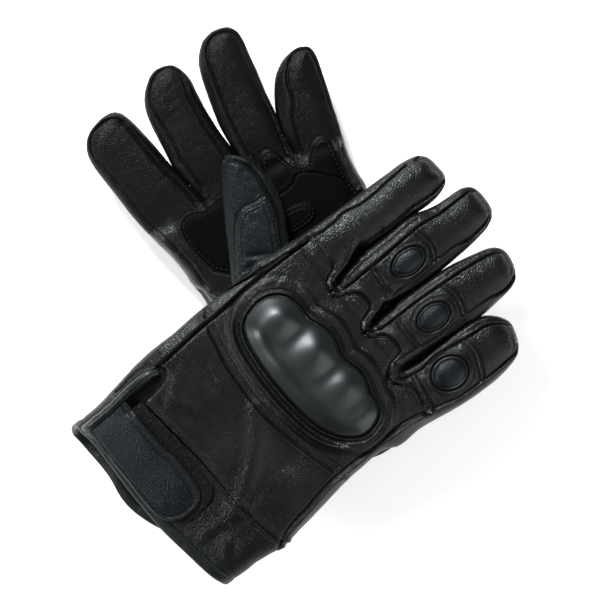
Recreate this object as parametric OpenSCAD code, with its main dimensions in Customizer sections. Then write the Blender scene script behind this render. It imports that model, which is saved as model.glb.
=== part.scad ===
// A pair of leather riding gloves with hard knuckle guards, laid crossed:
// the right glove back up, over the left glove palm up.
// Millimetres. +X runs along the right hand towards its fingers, +Y to its
// thumb side, +Z up. Each glove is drawn once in its own frame (x along the
// hand from the guard centre, y to the thumb, z from palm to back) and then
// placed as the right or, mirrored in z, as the left glove.

/* [Hand] */
// Distance from the guard centre back to the cuff seam
wrist_l = 76; // [72:1:80]
// Distance from the guard centre to the finger roots
root_l = 36; // [35:1:38]
// Thickness of the empty hand, palm leather to back leather
hand_t = 20; // [19:0.5:21]
// Thickness of one layer of leather
leather_t = 1.4; // [1:0.1:1.5]
// Thickness of the textile lining
lining_t = 0.8; // [0.5:0.1:1]

/* [Fingers] */
// Length of the index finger from its root
index_l = 81; // [76:1:84]
// Length of the middle finger from its root
middle_l = 88; // [84:1:92]
// Length of the ring finger from its root
ring_l = 78; // [74:1:82]
// Length of the little finger from its root
little_l = 62; // [60:1:66]
// Width of a finger sleeve
finger_w = 26; // [24:0.5:26]
// Thickness of a finger sleeve
finger_t = 16; // [15:0.5:17]
// Wall of a sleeve, leather and lining together
wall_t = 2.2; // [1.8:0.1:2.4]
// Downward angle of a finger's first stretch
finger_drop = 3; // [0:1:4]
// Further angle of a fingertip at rest
tip_drop = 4; // [0:1:6]

/* [Knuckle guard] */
// Height of the moulded guard above its foam
guard_h = 8.5; // [7:0.5:10]
// Wall of the moulded guard
guard_wall = 2; // [1.5:0.1:2.5]
// Thickness of the foam below the guard
foam_t = 2; // [1.5:0.5:3]

/* [Cuff and strap] */
// Length of the cuff from its seam to the hem
cuff_l = 39; // [36:1:42]
// Width of the wrist strap
strap_w = 26; // [22:1:28]
// Thickness of the wrist strap
strap_t = 2.2; // [1.8:0.1:2.6]
// Angle at which the upper glove's cuff hangs
right_cuff_drop = 20; // [14:1:22]
// Angle at which the lower glove's cuff reaches the surface below
left_cuff_drop = 10.5; // [8:0.5:11]

/* [Thumb] */
// Length of the thumb sleeve
thumb_l = 100; // [94:1:102]
// Thickness of the thumb sleeve
thumb_t = 13; // [12:0.5:13]

/* [Placing] */
// Turn of the lower glove from the upper glove
left_turn = 80; // [78:1:82]

/* [Hidden] */
$fn = 48;

gap = 0.3;
sliver = 0.06;                        // keeps neighbouring solids of one sleeve apart
lens = [index_l, middle_l, ring_l, little_l];
scrunch = [0.9, 0.9, 0.99, 0.91];     // the lower glove's fingers are drawn back a little
bend = [50, 52, 44, 37];              // root to the bend behind each fingertip
roots = [[root_l + gap, 29.2], [root_l + gap, 0.8], [root_l + gap, -27.2], [root_l - 6 + gap, -55.6]];
spread_right = [-3, -2.5, -4, -9];
spread_left = [7.5, -1, -3.5, -10.5];
root_w = 2;                           // height of a finger's palm side above the palm
axis_w = 4.5;                         // height of the bend's axis above the finger's palm side
fold = 2.8;                           // room on each side of the bend
skin_in = leather_t + gap / 2;
lining_in = skin_in + lining_t;
patch_t = 1.3;
guard_top = hand_t + gap / 2 + foam_t + gap / 2 + guard_h;
left_z = guard_top;                   // the lower glove stands on its guard
thumb_top = -(patch_t + 0.75);        // where the thumb lies below the palm
right_z = left_z + patch_t * 2 + 1.5 + thumb_t + 0.2;
left_at = [18, 54];
base_at = [-1.8, -46.4];              // puts the origin under the middle of the pair
thumb_at_right = [-52, 28];
thumb_at_left = [-44, 20];
thumb_turn_right = -68;
thumb_turn_left = -20.5;
thumb_w = 28;
finger_half = finger_w / 2;

hand_pts = [[-wrist_l, -68], [-10, -66], [root_l - 6, -70], [root_l - 6, -42], [root_l, -41],
            [root_l, 44], [12, 48], [-30, 48.5], [-wrist_l, 45]];
guard_bumps = [[-3, 18, 14.5], [-2, -2, 18.5], [-2, -23, 17.5], [-1, -40, 14.5]];

function is_left(side) = side == "left";
function spread(i, side) = is_left(side) ? spread_left[i] : spread_right[i];
function len_of(i, side) = lens[i] * (is_left(side) ? scrunch[i] : 1);
function bend_of(i, side) = bend[i] * (is_left(side) ? scrunch[i] : 1);
function oval(a, b, n = 40) = [for (k = [0 : n - 1]) [a * cos(k * 360 / n), b * sin(k * 360 / n)]];
function cuff_drop(side) = is_left(side) ? -left_cuff_drop : right_cuff_drop;
function cuff_pivot(side) = is_left(side) ? hand_t : 0;
// how far a cuff layer may reach past the seam at height z and still clear the hand
function reach(side, z) = abs(z - cuff_pivot(side)) * tan(abs(cuff_drop(side))) * 0.94 - gap;

module place(side) {
    if (is_left(side))
        translate([base_at[0] + left_at[0], base_at[1] + left_at[1], left_z]) rotate([0, 0, left_turn]) mirror([0, 0, 1]) children();
    else
        translate([base_at[0], base_at[1], right_z]) children();
}

// the frame of finger i, x along it from its root, z from its palm side
module finger_frame(i, side) {
    place(side) translate([roots[i][0], roots[i][1], root_w])
        rotate([0, 0, spread(i, side)]) rotate([0, finger_drop, 0]) children();
}

module tip_frame(i, side) {
    finger_frame(i, side) translate([bend_of(i, side), 0, axis_w]) rotate([0, tip_drop, 0])
        translate([0, 0, -axis_w]) children();
}

// the cuff's own frame, x from the cuff seam towards the hem as negative x
module cuff_frame(side) {
    place(side) translate([-wrist_l, 0, cuff_pivot(side)]) rotate([0, -cuff_drop(side), 0])
        translate([0, 0, -cuff_pivot(side)]) children();
}

module thumb_frame(side) {
    at = is_left(side) ? thumb_at_left : thumb_at_right;
    place(side) translate([at[0], at[1], thumb_top - thumb_t])
        rotate([0, 0, is_left(side) ? thumb_turn_left : thumb_turn_right]) children();
}

module plate(pts, z0, z1) {
    translate([0, 0, z0]) linear_extrude(z1 - z0) polygon(pts);
}

module slab(x0, x1, y0, y1, z0, z1) {
    translate([x0, y0, z0]) cube([x1 - x0, y1 - y0, z1 - z0]);
}

// outline of a sleeve with a rounded end, from x0 to length l
function sleeve_pts(x0, l, w, n = 12) = concat([[x0, -w / 2]],
    [for (k = [0 : n]) let (a = -90 + k * 180 / n) [l - w / 2 + w / 2 * cos(a), w / 2 * sin(a)]],
    [[x0, w / 2]]);

// the wall round a sleeve's rounded end, as short straight pieces
module round_end(l, w, z0, z1) {
    r = w / 2;
    for (k = [0 : 3]) let (a0 = -90 + k * 45 + 0.3, a1 = a0 + 44.4, am = (a0 + a1) / 2, ri = r - wall_t)
        translate([l - r, 0, 0])
            plate([[r * cos(a0), r * sin(a0)], [r * cos(am), r * sin(am)], [r * cos(a1), r * sin(a1)],
                   [ri * cos(a1), ri * sin(a1)], [ri * cos(a0), ri * sin(a0)]], z0, z1);
}

// a sleeve closed at its far end: floor, roof, two sides and the rounded end
module closed_sleeve(x_floor, x_roof, l, w, t) {
    plate(sleeve_pts(x_floor, l, w), 0, wall_t);
    plate(sleeve_pts(x_roof, l, w), t - wall_t, t);
    for (s = [-1, 1])
        slab(x_floor, l - w / 2 - sliver, s > 0 ? w / 2 - wall_t : -w / 2, s > 0 ? w / 2 : -w / 2 + wall_t,
             wall_t + sliver, t - wall_t - sliver);
    round_end(l, w, wall_t + sliver, t - wall_t - sliver);
}

module hand_back_panel(side) {
    color("#26272a") place(side)
        plate([[-31, -66.5], [-10, -66], [root_l - 6, -70], [root_l - 6, -42], [root_l, -41],
               [root_l, 44], [12, 48], [-30, 48.5], [-31, 48.4]], hand_t - leather_t, hand_t);
}

module wrist_back_panel(side) {
    color("#232427") place(side)
        plate([[-wrist_l, -68], [-31 - sliver, -66.6], [-31 - sliver, 48.4], [-wrist_l, 45]],
              hand_t - leather_t, hand_t);
}

module thumb_hole(z0, z1) {
    plate(concat([[-70, 40]], [[-70, 14], [-28, 8], [-22, 20], [-24, 40]]), z0, z1);
}

module palm_panel(side) {
    color("#1f2023") place(side) difference() {
        plate(hand_pts, 0, leather_t);
        thumb_hole(-1, leather_t + 1);
    }
}

module palm_patch(side) {
    color("#292a2d") place(side)
        plate([[-20, -62], [8, -64], [26, -58], [30, -40], [31, -12], [25, 8], [5, 24], [-12, 18], [-18, -8]],
              -patch_t, -sliver);
}

module side_gussets(side) {
    z0 = leather_t + sliver;
    z1 = hand_t - leather_t - sliver;
    color("#1c1d20") place(side) {
        plate([[-wrist_l, 45], [-30, 48.5], [12, 48], [root_l - 3, 44.5], [root_l - 3, 42.7], [12, 46.2], [-30, 46.7], [-wrist_l, 43.2]], z0, z1);
        plate([[-wrist_l, -68], [-10, -66], [root_l - 10, -69.5], [root_l - 10, -67.7], [-10, -64.2], [-wrist_l, -66.2]], z0, z1);
    }
}

module lining(side) {
    color("#141416") place(side) {
        difference() {
            plate([[-wrist_l, -65], [-10, -63.5], [root_l - 12, -67], [root_l - 7, -42], [root_l - 7, 41], [-30, 45.5], [-wrist_l, 42]],
                  skin_in, lining_in);
            thumb_hole(0, hand_t / 2);
        }
        plate([[-wrist_l, -65], [-10, -63.5], [root_l - 12, -67], [root_l - 7, -42], [root_l - 7, 41], [-30, 45.5], [-wrist_l, 42]],
              hand_t - lining_in, hand_t - skin_in);
    }
}

// the moulded guard: one solid hump per knuckle, blended into a bar
module guard_body(grow, h) {
    for (k = [0 : 2]) hull() for (j = [0 : 1]) let (b = guard_bumps[k + j])
        translate([b[0], b[1], 0]) {
            cylinder(h = 1.5, r = b[2] + grow, $fn = 32);
            translate([0, 0, h * 0.6]) cylinder(h = h * 0.12, r = b[2] * 0.82 + grow, $fn = 32);
            translate([0, 0, h - 0.2]) cylinder(h = 0.2, r = b[2] * 0.42 + grow, $fn = 32);
        }
}

module knuckle_guard(side) {
    color("#3a3b3f") place(side) translate([0, 0, hand_t + gap + foam_t]) difference() {
        guard_body(0, guard_h);
        translate([0, 0, -0.1]) guard_body(-guard_wall, guard_h - guard_wall + 0.1);
    }
}

module guard_foam(side) {
    color("#2b2b2e") place(side) translate([-2.5, -11, hand_t + gap / 2])
        linear_extrude(foam_t) polygon(oval(24, 48));
}

module cuff_back(side) {
    z1 = hand_t;
    z0 = z1 - leather_t;
    color("#242528") cuff_frame(side)
        plate([[-cuff_l, -67], [reach(side, z0), -68], [reach(side, z0), 44.5], [-cuff_l, 44]], z0, z1);
}

module cuff_palm(side) {
    w = reach(side, leather_t);
    color("#202124") cuff_frame(side) {
        plate([[-cuff_l, -67], [reach(side, 0), -68], [reach(side, 0), 44.5], [-cuff_l, 44]], 0, leather_t);
        plate([[-cuff_l, -67], [-gap, -68], [-gap, -66.2], [-cuff_l, -65.2]], leather_t + sliver, hand_t - leather_t - sliver);
    }
}

module cuff_binding(side) {
    color("#18191b") cuff_frame(side)
        for (z = [-0.6, hand_t - leather_t - 0.6])
            slab(-cuff_l - 2.4, -cuff_l - sliver, -67, 44, z, z + leather_t + 1.2);
}

module loop_patch(side) {
    color("#303134") cuff_frame(side)
        plate([[-cuff_l + 3, -27], [-cuff_l + 8, -33], [-8, -33], [-3, -27], [-3, 30], [-cuff_l + 3, 30]],
              hand_t + sliver, hand_t + 1);
}

module strap_outline(x0, x1, y0, y1) {
    r = (x1 - x0) / 2;
    polygon(concat([[x1, y1], [x0, y1]],
        [for (k = [0 : 12]) let (a = 180 + k * 15) [(x0 + x1) / 2 + r * cos(a), y0 + r * 0.75 + r * 0.75 * sin(a)]]));
}

module strap(side) {
    color("#26272a") cuff_frame(side) translate([0, 0, hand_t + 1 + gap + 0.8])
        linear_extrude(strap_t) strap_outline(-cuff_l + 3, -cuff_l + 3 + strap_w, -28, 38);
}

module hook_patch(side) {
    color("#101012") cuff_frame(side) translate([0, 0, hand_t + 1 + gap])
        linear_extrude(0.8 - sliver) strap_outline(-cuff_l + 7, -cuff_l + strap_w - 1, -24, 10);
}

module thumb_gusset(side) {
    color("#1a1b1d") place(side)
        plate([[-72, 44], [-72, 41.5], [-21, 41.5], [-14, 30], [-10, 34], [-18, 45]], thumb_top + 0.75, -sliver);
}

module thumb_sleeve(side) {
    w = thumb_w;
    color("#222326") thumb_frame(side) {
        plate(sleeve_pts(-6, thumb_l, w), 0, wall_t);
        plate(sleeve_pts(34, thumb_l, w), thumb_t - wall_t, thumb_t);
        for (s = [-1, 1])
            slab(-6, thumb_l - w / 2 - sliver, s > 0 ? w / 2 - wall_t : -w / 2, s > 0 ? w / 2 : -w / 2 + wall_t,
                 wall_t + sliver, thumb_t - wall_t - sliver);
        round_end(thumb_l, w, wall_t + sliver, thumb_t - wall_t - sliver);
    }
}

module thumb_patch(side) {
    color("#2a2b2e") thumb_frame(side)
        plate([[4, -12], [60, -12], [62, 0], [60, 12], [4, 12]], -0.6, -sliver);
}

module base_sleeve(i, side) {
    l = bend_of(i, side);
    color("#242528") finger_frame(i, side) {
        slab(0, l - fold, -finger_half, finger_half, 0, wall_t);
        slab(0, l - gap, -finger_half, finger_half, finger_t - wall_t, finger_t);
        for (s = [-1, 1])
            slab(0, l - fold, s > 0 ? finger_half - wall_t : -finger_half, s > 0 ? finger_half : -finger_half + wall_t,
                 wall_t + sliver, finger_t - wall_t - sliver);
    }
}

module tip_sleeve(i, side) {
    color("#28292c") tip_frame(i, side)
        closed_sleeve(fold, gap * 2, len_of(i, side) - bend_of(i, side), finger_w, finger_t);
}

module knuckle_pad(i, side) {
    x = [0, 34, 26, 20][i] * (is_left(side) ? scrunch[i] : 1);
    color("#2e2f32") finger_frame(i, side) translate([x, 0, finger_t + sliver]) {
        linear_extrude(1.6) polygon(oval([0, 9, 8.5, 9.5][i], [0, 7.5, 7.5, 9][i], 32));
        translate([0, 0, 1.6]) linear_extrude(1.2) polygon(oval([0, 6.5, 6, 7][i], [0, 5.2, 5.2, 6.5][i], 32));
    }
}

hand_back_panel("right");  // right_hand_back_panel
wrist_back_panel("right");  // right_wrist_back_panel
palm_panel("right");  // right_palm_panel
palm_patch("right");  // right_palm_patch
side_gussets("right");  // right_side_gussets
lining("right");  // right_lining
knuckle_guard("right");  // right_knuckle_guard
guard_foam("right");  // right_guard_foam
cuff_back("right");  // right_cuff_back
cuff_palm("right");  // right_cuff_palm
cuff_binding("right");  // right_cuff_binding
loop_patch("right");  // right_loop_patch
strap("right");  // right_strap
hook_patch("right");  // right_hook_patch
thumb_gusset("right");  // right_thumb_gusset
thumb_sleeve("right");  // right_thumb_sleeve
thumb_patch("right");  // right_thumb_patch
base_sleeve(0, "right");  // right_index_base_sleeve
base_sleeve(1, "right");  // right_middle_base_sleeve
base_sleeve(2, "right");  // right_ring_base_sleeve
base_sleeve(3, "right");  // right_little_base_sleeve
tip_sleeve(0, "right");  // right_index_tip_sleeve
tip_sleeve(1, "right");  // right_middle_tip_sleeve
tip_sleeve(2, "right");  // right_ring_tip_sleeve
tip_sleeve(3, "right");  // right_little_tip_sleeve
knuckle_pad(1, "right");  // right_middle_knuckle_pad
knuckle_pad(2, "right");  // right_ring_knuckle_pad
knuckle_pad(3, "right");  // right_little_knuckle_pad
hand_back_panel("left");  // left_hand_back_panel
wrist_back_panel("left");  // left_wrist_back_panel
palm_panel("left");  // left_palm_panel
palm_patch("left");  // left_palm_patch
side_gussets("left");  // left_side_gussets
lining("left");  // left_lining
knuckle_guard("left");  // left_knuckle_guard
guard_foam("left");  // left_guard_foam
cuff_back("left");  // left_cuff_back
cuff_palm("left");  // left_cuff_palm
cuff_binding("left");  // left_cuff_binding
loop_patch("left");  // left_loop_patch
strap("left");  // left_strap
hook_patch("left");  // left_hook_patch
thumb_gusset("left");  // left_thumb_gusset
thumb_sleeve("left");  // left_thumb_sleeve
thumb_patch("left");  // left_thumb_patch
base_sleeve(0, "left");  // left_index_base_sleeve
base_sleeve(1, "left");  // left_middle_base_sleeve
base_sleeve(2, "left");  // left_ring_base_sleeve
base_sleeve(3, "left");  // left_little_base_sleeve
tip_sleeve(0, "left");  // left_index_tip_sleeve
tip_sleeve(1, "left");  // left_middle_tip_sleeve
tip_sleeve(2, "left");  // left_ring_tip_sleeve
tip_sleeve(3, "left");  // left_little_tip_sleeve
knuckle_pad(1, "left");  // left_middle_knuckle_pad
knuckle_pad(2, "left");  // left_ring_knuckle_pad
knuckle_pad(3, "left");  // left_little_knuckle_pad
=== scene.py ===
"""Looks for the crossed pair of riding gloves: leather skins modelled in code round the CAD frame."""

import math

import bpy
import numpy as np
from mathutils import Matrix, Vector
from mathutils.bvhtree import BVHTree


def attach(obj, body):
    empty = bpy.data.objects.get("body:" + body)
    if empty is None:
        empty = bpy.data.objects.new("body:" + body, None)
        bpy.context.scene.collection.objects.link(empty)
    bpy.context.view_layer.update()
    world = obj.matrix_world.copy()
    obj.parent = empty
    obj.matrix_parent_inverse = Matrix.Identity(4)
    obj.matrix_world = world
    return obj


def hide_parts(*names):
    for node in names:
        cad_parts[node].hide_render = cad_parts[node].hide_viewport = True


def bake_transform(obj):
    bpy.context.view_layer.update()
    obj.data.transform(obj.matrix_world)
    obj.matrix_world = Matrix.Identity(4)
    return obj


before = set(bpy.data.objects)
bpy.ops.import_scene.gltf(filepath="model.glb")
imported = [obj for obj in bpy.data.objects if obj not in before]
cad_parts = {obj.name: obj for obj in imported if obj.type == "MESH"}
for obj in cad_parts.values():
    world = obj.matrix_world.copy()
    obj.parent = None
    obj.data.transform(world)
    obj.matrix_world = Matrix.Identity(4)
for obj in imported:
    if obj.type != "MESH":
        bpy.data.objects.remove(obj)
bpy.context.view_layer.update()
MM = 0.001

# ---------------------------------------------------------------- glove frame, in millimetres
WRIST, ROOT, CUFF = 76.0, 36.0, 39.0
HAND_T = 20.0
BEND = [50.0, 52.0, 44.0, 37.0]
LENS = [81.0, 88.0, 78.0, 62.0]
SCRUNCH = [0.9, 0.9, 0.99, 0.91]
ROOTS = [(36.3, 29.2), (36.3, 0.8), (36.3, -27.2), (30.3, -55.6)]
SPREAD = {"right": [-3, -2.5, -4, -9], "left": [7.5, -1, -3.5, -10.5]}
DROP, TIPDROP, AXIS_W = 3.0, 4.0, 4.5
GUARD_TOP = 30.8
BASE = (-1.8, -46.4)
LEFT_AT, LEFT_TURN = (18.0, 54.0), 80.0
PATCH_T, THUMB_T = 1.3, 13.0
LEFT_Z = GUARD_TOP
THUMB_TOP = -(PATCH_T + 0.75)
RIGHT_Z = LEFT_Z + PATCH_T * 2 + 1.5 + THUMB_T + 0.2
CUFF_DROP = {"right": 20.0, "left": -10.5}
CUFF_PIVOT = {"right": 0.0, "left": HAND_T}
THUMB_AT = {"right": (-52.0, 28.0), "left": (-44.0, 20.0)}
THUMB_TURN = {"right": -68.0, "left": -20.5}
THUMB_L = 100.0
FINGERS = ["index", "middle", "ring", "little"]
WIDTHS = [27.0, 27.5, 27.5, 29.0]


def rz(a):
    a = math.radians(a)
    return np.array([[math.cos(a), -math.sin(a), 0], [math.sin(a), math.cos(a), 0], [0, 0, 1.0]])


def ry(a):
    a = math.radians(a)
    return np.array([[math.cos(a), 0, math.sin(a)], [0, 1.0, 0], [-math.sin(a), 0, math.cos(a)]])


def f_len(i, side):
    return LENS[i] * (SCRUNCH[i] if side == "left" else 1.0)


def f_bend(i, side):
    return BEND[i] * (SCRUNCH[i] if side == "left" else 1.0)


def to_finger(p, i, side):
    """Glove frame to the finger's own frame: x along it, z from its palm side."""
    m = rz(SPREAD[side][i]) @ ry(DROP)
    q = (p - np.array([ROOTS[i][0], ROOTS[i][1], 2.0])) @ m
    b = f_bend(i, side)
    t = np.clip((q[..., 0] - (b - 6)) / 12, 0, 1)
    ang = np.radians(TIPDROP) * t * t * (3 - 2 * t)
    dx, dz = q[..., 0] - b, q[..., 2] - AXIS_W
    c, s = np.cos(ang), np.sin(ang)
    out = q.copy()
    out[..., 0] = np.where(t > 0, b + c * dx - s * dz, q[..., 0])
    out[..., 2] = np.where(t > 0, AXIS_W + s * dx + c * dz, q[..., 2])
    return out


def from_finger(q, i, side, tip=True):
    """Finger frame back to the glove frame."""
    q = np.asarray(q, float)
    b = f_bend(i, side)
    t = np.clip((q[..., 0] - (b - 6)) / 12, 0, 1) if tip else np.zeros(q.shape[:-1])
    ang = np.radians(TIPDROP) * t * t * (3 - 2 * t)
    dx, dz = q[..., 0] - b, q[..., 2] - AXIS_W
    c, s = np.cos(ang), np.sin(ang)
    r = q.copy()
    r[..., 0] = np.where(t > 0, b + c * dx + s * dz, q[..., 0])
    r[..., 2] = np.where(t > 0, AXIS_W - s * dx + c * dz, q[..., 2])
    m = rz(SPREAD[side][i]) @ ry(DROP)
    return r @ m.T + np.array([ROOTS[i][0], ROOTS[i][1], 2.0])


def bend_cuff(p, side):
    """The cuff hangs: everything behind the wrist turns smoothly about the hand's lower layer."""
    p = np.array(p, float)
    top, wp = math.radians(CUFF_DROP[side]), CUFF_PIVOT[side]
    s = -p[:, 0]
    grid = np.linspace(58, 140, 200)
    t = np.clip((grid - 60) / 30, 0, 1)
    th = top * t * t * (3 - 2 * t)
    ds = grid[1] - grid[0]
    xs = 58 + np.concatenate([[0], np.cumsum(np.cos((th[1:] + th[:-1]) / 2) * ds)])
    zs = -np.concatenate([[0], np.cumsum(np.sin((th[1:] + th[:-1]) / 2) * ds)])
    m = s > 60
    X, Z, T = np.interp(s, grid, xs), np.interp(s, grid, zs), np.interp(s, grid, th)
    dw = p[:, 2] - wp
    p[m, 0] = (-X - np.sin(T) * dw)[m]
    p[m, 2] = (wp + Z + np.cos(T) * dw)[m]
    return p


def place(p, side):
    """Glove frame to the row frame, in metres."""
    p = bend_cuff(p, side)
    return rigid(p, side)


def rigid(p, side):
    p = np.array(p, float)
    if side == "left":
        p = p * np.array([1, 1, -1.0])
        p = p @ rz(LEFT_TURN).T + np.array([BASE[0] + LEFT_AT[0], BASE[1] + LEFT_AT[1], LEFT_Z])
    else:
        p = p + np.array([BASE[0], BASE[1], RIGHT_Z])
    return p * MM


def from_thumb(q, side):
    """Thumb frame to the glove frame."""
    at = THUMB_AT[side]
    return np.asarray(q, float) @ rz(THUMB_TURN[side]).T + np.array([at[0], at[1], THUMB_TOP - THUMB_T])


# ---------------------------------------------------------------- numeric helpers
def sd_poly(p, poly):
    """Signed distance to a closed outline, negative inside. p is (..., 2)."""
    v = np.asarray(poly, float)
    d = np.full(p.shape[:-1], 1e9)
    inside = np.zeros(p.shape[:-1], bool)
    n = len(v)
    for i in range(n):
        a, b = v[i], v[(i + 1) % n]
        e = b - a
        w = p - a
        t = np.clip((w @ e) / (e @ e), 0, 1)
        q = w - t[..., None] * e
        d = np.minimum(d, (q * q).sum(-1))
        c1, c2 = a[1] <= p[..., 1], b[1] > p[..., 1]
        cr = e[0] * w[..., 1] - e[1] * w[..., 0]
        inside ^= (c1 & c2 & (cr > 0)) | (~c1 & ~c2 & (cr < 0))
    d = np.sqrt(d)
    return np.where(inside, -d, d)


def d_line(p, line):
    """Distance to an open line, and the signed side of it (positive left of its direction)."""
    v = np.asarray(line, float)
    best = np.full(p.shape[:-1], 1e9)
    side = np.zeros(p.shape[:-1])
    for a, b in zip(v[:-1], v[1:]):
        e = b - a
        w = p - a
        t = np.clip((w @ e) / max(e @ e, 1e-9), 0, 1)
        q = w - t[..., None] * e
        d = (q * q).sum(-1)
        s = e[0] * w[..., 1] - e[1] * w[..., 0]
        m = d < best
        best = np.where(m, d, best)
        side = np.where(m, s, side)
    return np.sqrt(best), np.sign(side)


def spline(pts, n=8, closed=False):
    """Catmull-Rom through the points."""
    p = np.asarray(pts, float)
    if closed:
        p = np.vstack([p[-1], p, p[0], p[1]])
    else:
        p = np.vstack([2 * p[0] - p[1], p, 2 * p[-1] - p[-2]])
    out = []
    for i in range(1, len(p) - 2):
        for k in range(n):
            t = k / n
            a, b, c, d = p[i - 1], p[i], p[i + 1], p[i + 2]
            out.append(0.5 * (2 * b + (c - a) * t + (2 * a - 5 * b + 4 * c - d) * t * t + (3 * b - a - 3 * c + d) * t**3))
    if not closed:
        out.append(p[-2])
    return np.array(out)


def resample(line, step, closed=False):
    p = np.asarray(line, float)
    if closed:
        p = np.vstack([p, p[:1]])
    seg = np.linalg.norm(np.diff(p, axis=0), axis=1)
    s = np.concatenate([[0], np.cumsum(seg)])
    n = max(int(round(s[-1] / step)), 1)
    t = np.linspace(0, s[-1], n + 1)
    q = np.stack([np.interp(t, s, p[:, k]) for k in range(p.shape[1])], 1)
    return q[:-1] if closed else q


def offset(line, d):
    """A line moved sideways, to its left for positive d."""
    p = np.asarray(line, float)
    t = np.gradient(p, axis=0)
    t /= np.linalg.norm(t, axis=1)[:, None] + 1e-9
    return p + d * np.stack([-t[:, 1], t[:, 0]], 1)


def smooth01(x, a, b):
    t = np.clip((x - a) / (b - a), 0, 1)
    return t * t * (3 - 2 * t)


def noise(p, scale, seed):
    """Smooth value noise in -1..1, for points (n, 3) in millimetres."""
    q = p / scale
    i = np.floor(q).astype(np.int64)
    f = q - i
    f = f * f * f * (f * (f * 6 - 15) + 10)
    out = np.zeros(len(p))
    for dx in (0, 1):
        for dy in (0, 1):
            for dz in (0, 1):
                h = (i[:, 0] + dx) * 374761393 + (i[:, 1] + dy) * 668265263 + (i[:, 2] + dz) * 2147483647 + seed * 974711
                h = (h ^ (h >> 13)) * 1274126177
                h = (h ^ (h >> 16)) & 0xFFFF
                w = (f[:, 0] if dx else 1 - f[:, 0]) * (f[:, 1] if dy else 1 - f[:, 1]) * (f[:, 2] if dz else 1 - f[:, 2])
                out += w * (h / 32767.5 - 1)
    return out


def fbm(p, scale, seed, octaves=3):
    return sum(noise(p, scale / 2**k, seed + k) / 2**k for k in range(octaves)) / 1.6


def smin(a, b, k):
    h = np.clip(0.5 + 0.5 * (b - a) / k, 0, 1)
    return b * (1 - h) + a * h - k * h * (1 - h)


def surface_nets(F, org, h):
    """Surface of F = 0, F negative inside: vertices, quads and each vertex's cell number."""
    s = F < 0
    nx, ny, nz = F.shape
    c = np.zeros((nx - 1, ny - 1, nz - 1), np.int8)
    for a in (0, 1):
        for b in (0, 1):
            for d in (0, 1):
                c += s[a : nx - 1 + a, b : ny - 1 + b, d : nz - 1 + d]
    act = (c > 0) & (c < 8)
    idx = np.full(act.shape, -1, np.int64)
    ci = np.argwhere(act)
    idx[act] = np.arange(len(ci))
    P = np.zeros((len(ci), 3))
    W = np.zeros(len(ci))
    corners = [(a, b, d) for a in (0, 1) for b in (0, 1) for d in (0, 1)]
    for a in corners:
        for k in range(3):
            if a[k]:
                continue
            b = list(a)
            b[k] = 1
            fa = F[ci[:, 0] + a[0], ci[:, 1] + a[1], ci[:, 2] + a[2]]
            fb = F[ci[:, 0] + b[0], ci[:, 1] + b[1], ci[:, 2] + b[2]]
            m = (fa < 0) != (fb < 0)
            t = fa[m] / (fa[m] - fb[m])
            pos = np.tile(np.array(a, float), (m.sum(), 1))
            pos[:, k] += t
            P[m] += pos
            W[m] += 1
    P /= W[:, None]
    verts = np.array(org) + (ci + P) * h
    quads = []
    for k in range(3):
        o = [i for i in range(3) if i != k]
        sl0 = [slice(None)] * 3
        sl1 = [slice(None)] * 3
        sl0[k], sl1[k] = slice(0, -1), slice(1, None)
        diff = s[tuple(sl0)] != s[tuple(sl1)]
        e = np.argwhere(diff)
        e = e[(e[:, o[0]] > 0) & (e[:, o[1]] > 0) & (e[:, o[0]] < F.shape[o[0]] - 1) & (e[:, o[1]] < F.shape[o[1]] - 1)]
        inside_first = s[e[:, 0], e[:, 1], e[:, 2]]
        c4 = []
        for da, db in ((-1, -1), (0, -1), (0, 0), (-1, 0)):
            q = e.copy()
            q[:, o[0]] += da
            q[:, o[1]] += db
            c4.append(idx[q[:, 0], q[:, 1], q[:, 2]])
        quad = np.stack(c4, 1)
        flip = inside_first if k != 1 else ~inside_first
        quad[~flip] = quad[~flip][:, ::-1]
        quads.append(quad)
    key = (ci[:, 0] * (ny - 1) + ci[:, 1]) * (nz - 1) + ci[:, 2]
    return verts, np.vstack(quads), key


def new_mesh(name, verts, faces, smooth=True):
    me = bpy.data.meshes.new(name)
    verts = np.ascontiguousarray(verts, dtype=np.float32)
    if isinstance(faces, np.ndarray):
        n, k = faces.shape
        me.vertices.add(len(verts))
        me.vertices.foreach_set("co", verts.ravel())
        me.loops.add(n * k)
        me.loops.foreach_set("vertex_index", np.ascontiguousarray(faces, dtype=np.int32).ravel())
        me.polygons.add(n)
        me.polygons.foreach_set("loop_start", np.arange(0, n * k, k, dtype=np.int32))
        me.update(calc_edges=True)
    else:
        me.from_pydata([tuple(v) for v in verts], [], [tuple(int(i) for i in f) for f in faces])
        me.update()
    me.validate()
    if smooth:
        me.polygons.foreach_set("use_smooth", [True] * len(me.polygons))
    return me


def subdivide(verts, quads, levels=1):
    """Catmull-Clark, through Blender's own modifier."""
    me = new_mesh("tmp_sub", verts, quads)
    ob = bpy.data.objects.new("tmp_sub", me)
    bpy.context.scene.collection.objects.link(ob)
    mod = ob.modifiers.new("s", "SUBSURF")
    mod.levels = mod.render_levels = levels
    dg = bpy.context.evaluated_depsgraph_get()
    ev = ob.evaluated_get(dg).to_mesh()
    v = np.empty(len(ev.vertices) * 3, np.float32)
    ev.vertices.foreach_get("co", v)
    f = np.empty(len(ev.loops), np.int32)
    ev.loops.foreach_get("vertex_index", f)
    v, f = v.reshape(-1, 3).astype(float), f.reshape(-1, 4).copy()
    ob.evaluated_get(dg).to_mesh_clear()
    bpy.data.objects.remove(ob)
    bpy.data.meshes.remove(me)
    return v, f


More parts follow.
